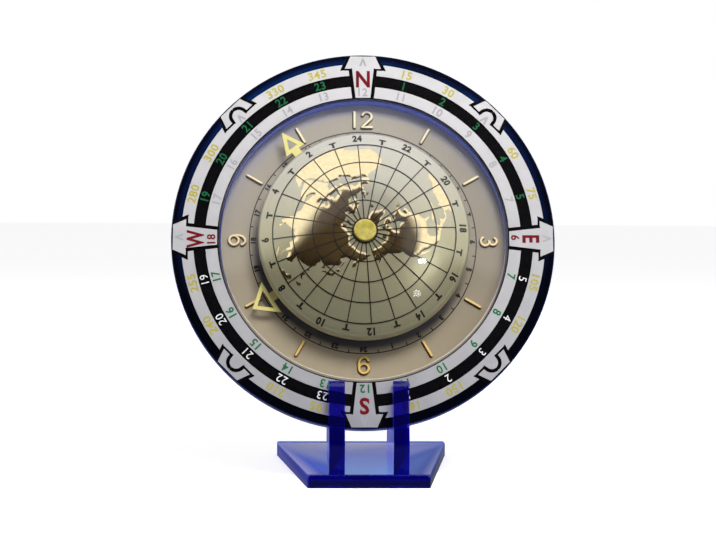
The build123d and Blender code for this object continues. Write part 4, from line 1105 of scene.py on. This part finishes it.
digit_one = [Vector((0, -marker_half)), Vector((0, 0)), Vector((0, marker_half))]
two_bow = arc((0, -bowl_middle), bowl_radius, 160, -195)
digit_two = [
    two_bow + [Vector((-bowl_radius, -marker_half))],
    [Vector((-bowl_radius, -marker_half)), Vector((0, -marker_half)), Vector((bowl_radius, -marker_half))],
]
digit_three = [
    arc((0, marker_half - three_upper_radius), three_upper_radius, 150, -240),
    arc((0, three_lower_radius - marker_half), three_lower_radius, -150, 240),
]
six_neck = [(-bowl_radius, bowl_middle), (-2.55, 0.7), (-1.95, 2.8), (-0.5, 4.0), (1.0, 4.05), (2.05, 3.1), (2.3, 2.5)]
digit_six = [arc((0, bowl_middle), bowl_radius, 0, 360, 32), smooth_line(six_neck)]
twelve = [shifted(digit_one, -4.4)] + [shifted(line, 2.2) for line in digit_two]
numerals = [
    ("numeral_12", twelve, (0, marker_radius), 0), ("numeral_3", digit_three, (marker_radius, 0), -90),
    ("numeral_6", digit_six, (0, -marker_radius), 0), ("numeral_9", digit_six, (-marker_radius, 0), -90),
]
for name, lines, middle, turn_by in numerals:
    numeral = piece(name + "_round", marker_mesh(lines, middle, turn_by), gold, "clock_head")
    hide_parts(name)
    smooth_by_angle(numeral, 50.0)
bar_meshes = []
for hour in range(12):
    if hour % 3:
        angle = radians(30 * hour)
        place = (marker_radius * sin(angle), marker_radius * cos(angle))
        bar_meshes.append(marker_mesh([digit_one], place, -30 * hour))
bars = piece("hour_bars_round", join("hour_bars_round", bar_meshes), gold, "clock_head")
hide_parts("hour_bars")
smooth_by_angle(bars, 50.0)

# The hands get softened edges
round_edges(0.18, "hour_hand", "minute_hand")

# Camera
focal_pixels = 1813.35
image_width = 716
camera_yaw = radians(2.156)
camera_pitch = radians(3.323)
camera_roll = radians(0.357)
camera_place = head_centre + Vector((-38.31, -942.07, 38.00)) * MM
forward = Vector((sin(camera_yaw) * cos(camera_pitch), cos(camera_yaw) * cos(camera_pitch), -sin(camera_pitch)))
level_right = Vector((cos(camera_yaw), -sin(camera_yaw), 0))
level_down = forward.cross(level_right)
camera_right = level_right * cos(camera_roll) - level_down * sin(camera_roll)
camera_down = level_right * sin(camera_roll) + level_down * cos(camera_roll)
camera_data = bpy.data.cameras.new("camera")
camera_data.sensor_width = 36.0
camera_data.lens = focal_pixels / image_width * camera_data.sensor_width
camera = bpy.data.objects.new("camera", camera_data)
bpy.context.scene.collection.objects.link(camera)
turn = Matrix((camera_right, -camera_down, -forward)).transposed().to_4x4()
turn.translation = camera_place
camera.matrix_world = turn
camera_data.clip_start = 0.05
camera_data.clip_end = 20.0
bpy.context.scene.camera = camera

# Floor, world and lights
floor_mesh = bpy.data.meshes.new("floor")
floor_half = 4.0
floor_glow_level = 0.7
floor_in_gloss = 0.10
floor_mesh.from_pydata(
    [(-floor_half, -floor_half, 0), (floor_half, -floor_half, 0), (floor_half, floor_half, 0), (-floor_half, floor_half, 0)],
    [],
    [(0, 1, 2, 3)],
)
floor = bpy.data.objects.new("floor", floor_mesh)
bpy.context.scene.collection.objects.link(floor)
floor_white, floor_tree, floor_shader = material("floor_white")
floor_shader.inputs["Base Color"].default_value = (0.80, 0.80, 0.80, 1.0)
floor_shader.inputs["Roughness"].default_value = 0.9
floor_shader.inputs["Specular IOR Level"].default_value = 0.1
floor_glow = node(floor_tree, "ShaderNodeEmission")
floor_sum = node(floor_tree, "ShaderNodeAddShader")
floor_path = node(floor_tree, "ShaderNodeLightPath")
floor_place = node(floor_tree, "ShaderNodeTexCoord")
floor_split = node(floor_tree, "ShaderNodeSeparateXYZ")
floor_tree.links.new(floor_place.outputs["Object"], floor_split.inputs["Vector"])
behind = remap(floor_tree, floor_split.outputs["Y"], 0.0, floor_glow_level, -0.1, 0.3)
mirrored_behind = remap(floor_tree, floor_split.outputs["Y"], 0.0, 0.25, -0.1, 0.3)
floor_mirrored = chosen(floor_tree, floor_path.outputs["Is Glossy Ray"], 0.0, mirrored_behind)
floor_through = chosen(floor_tree, floor_path.outputs["Is Transmission Ray"], floor_mirrored, behind)
floor_level = chosen(floor_tree, floor_path.outputs["Is Camera Ray"], floor_through, floor_glow_level)
floor_tree.links.new(floor_level, floor_glow.inputs["Strength"])
floor_tint = node(floor_tree, "ShaderNodeMix", data_type="RGBA")
floor_tree.links.new(floor_path.outputs["Is Glossy Ray"], floor_tint.inputs["Factor"])
floor_tint.inputs["A"].default_value = (1.0, 1.0, 1.0, 1.0)
floor_tint.inputs["B"].default_value = (0.34, 0.45, 1.0, 1.0)
floor_tree.links.new(floor_tint.outputs["Result"], floor_glow.inputs["Color"])
floor_dark = node(floor_tree, "ShaderNodeEmission", STRENGTH=floor_in_gloss)
floor_mix = node(floor_tree, "ShaderNodeMixShader")
floor_tree.links.new(floor_path.outputs["Is Glossy Ray"], floor_mix.inputs["Fac"])
floor_tree.links.new(floor_shader.outputs["BSDF"], floor_mix.inputs[1])
floor_tree.links.new(floor_dark.outputs["Emission"], floor_mix.inputs[2])
floor_tree.links.new(floor_mix.outputs["Shader"], floor_sum.inputs[0])
floor_tree.links.new(floor_glow.outputs["Emission"], floor_sum.inputs[1])
floor_tree.links.new(floor_sum.outputs["Shader"], floor_tree.nodes["Material Output"].inputs["Surface"])
floor_mesh.materials.append(floor_white)

world = bpy.data.worlds.new("studio")
bpy.context.scene.world = world
world.use_nodes = True
sky = world.node_tree
background = sky.nodes["Background"]
background.inputs["Color"].default_value = (1, 1, 1, 1)
room_light = 0.26
dim_room = 0.02
soft_light = 1.1
soft_light_lean = 0.63
back_wall = 1.0
horizon_shade = 0.52
path = node(sky, "ShaderNodeLightPath")
direction = node(sky, "ShaderNodeTexCoord")
split = node(sky, "ShaderNodeSeparateXYZ")
sky.links.new(direction.outputs["Generated"], split.inputs["Vector"])
eastward, northward, skyward = (split.outputs[axis] for axis in "XYZ")


def joined(tree, kind, first, second):
    """Math node over two values."""
    made = node(tree, "ShaderNodeMath", operation=kind)
    tree.links.new(first, made.inputs[0])
    tree.links.new(second, made.inputs[1])
    return made.outputs["Value"]


# The soft light overhead comes lower at its sides, and the one on the right starts 16 degrees from the front
sideways = node(sky, "ShaderNodeMath", operation="ABSOLUTE")
sky.links.new(eastward, sideways.inputs[0])
leaning = node(sky, "ShaderNodeMath", operation="MULTIPLY_ADD")
leaning.inputs[1].default_value = soft_light_lean
sky.links.new(sideways.outputs["Value"], leaning.inputs[0])
sky.links.new(skyward, leaning.inputs[2])
overhead = remap(sky, leaning.outputs["Value"], dim_room, soft_light, 0.61, 0.71)
beside = remap(sky, eastward, 0.0, 1.0, 0.27, 0.35)
above_floor = remap(sky, skyward, dim_room, soft_light, 0.16, 0.34)
lit_right = joined(sky, "MULTIPLY", beside, above_floor)
dim_rise = remap(sky, skyward, 0.015, 0.085, 0.25, 0.62)
in_front = joined(sky, "MAXIMUM", joined(sky, "MAXIMUM", overhead, dim_rise), lit_right)
backdrop_tint = (0.30, 0.46, 1.0)
behind_it = remap(sky, northward, 0.0, 1.0, -0.05, 0.15)
horizon = remap(sky, skyward, horizon_shade, back_wall, 0.10, 0.30)
seen_in_gloss = chosen(sky, behind_it, in_front, horizon)
seen_through = chosen(sky, behind_it, in_front, back_wall)
mirrored = chosen(sky, path.outputs["Is Glossy Ray"], room_light, seen_in_gloss)
through = chosen(sky, path.outputs["Is Transmission Ray"], mirrored, seen_through)
level = chosen(sky, path.outputs["Is Camera Ray"], through, 1.0)
sky.links.new(level, background.inputs["Strength"])
warm = ramp(sky, in_front, [(0.0, (1.0, 0.70, 0.42)), (0.4, (1.0, 1.0, 1.0))])
cool = ramp(sky, horizon, [(horizon_shade, backdrop_tint), (0.9, (1.0, 1.0, 1.0))])
tinted = node(sky, "ShaderNodeMix", data_type="RGBA")
sky.links.new(behind_it, tinted.inputs["Factor"])
sky.links.new(warm, tinted.inputs["A"])
sky.links.new(cool, tinted.inputs["B"])
untinted = node(sky, "ShaderNodeMix", data_type="RGBA")
sky.links.new(path.outputs["Is Glossy Ray"], untinted.inputs["Factor"])
untinted.inputs["A"].default_value = (1.0, 1.0, 1.0, 1.0)
sky.links.new(tinted.outputs["Result"], untinted.inputs["B"])
sky.links.new(untinted.outputs["Result"], background.inputs["Color"])


def softbox(name, azimuth, elevation, distance, width, height, watts, mirrored_too=False):
    """Rectangular area light that faces the clock; azimuth is to the right of the front, in degrees."""
    data = bpy.data.lights.new(name, "AREA")
    data.shape = "RECTANGLE"
    data.size = width
    data.size_y = height
    data.energy = watts
    target = head_centre
    across_floor = distance * cos(radians(elevation))
    place = head_centre + Vector(
        (across_floor * sin(radians(azimuth)), -across_floor * cos(radians(azimuth)), distance * sin(radians(elevation)))
    )
    lamp = bpy.data.objects.new(name, data)
    lamp.visible_glossy = mirrored_too
    lamp.visible_transmission = False
    lamp.location = place
    lamp.rotation_mode = "QUATERNION"
    lamp.rotation_quaternion = (Vector(target) - Vector(place)).to_track_quat("-Z", "Y")
    bpy.context.scene.collection.objects.link(lamp)


softbox("overhead_light", 14, 47, 0.85, 0.36, 0.26, 7.6)
softbox("right_light", 32, 26, 1.2, 0.42, 0.6, 1.6)
softbox("small_lamp", 28.8, 12.95, 1.2, 0.072, 0.044, 0.75, True)
softbox("soft_lamp", 25.6, -0.9, 1.2, 0.07, 0.06, 0.22, True)
softbox("back_light", 180, 50, 1.3, 1.2, 0.8, 3.0)

bpy.context.scene.view_settings.view_transform = "Standard"
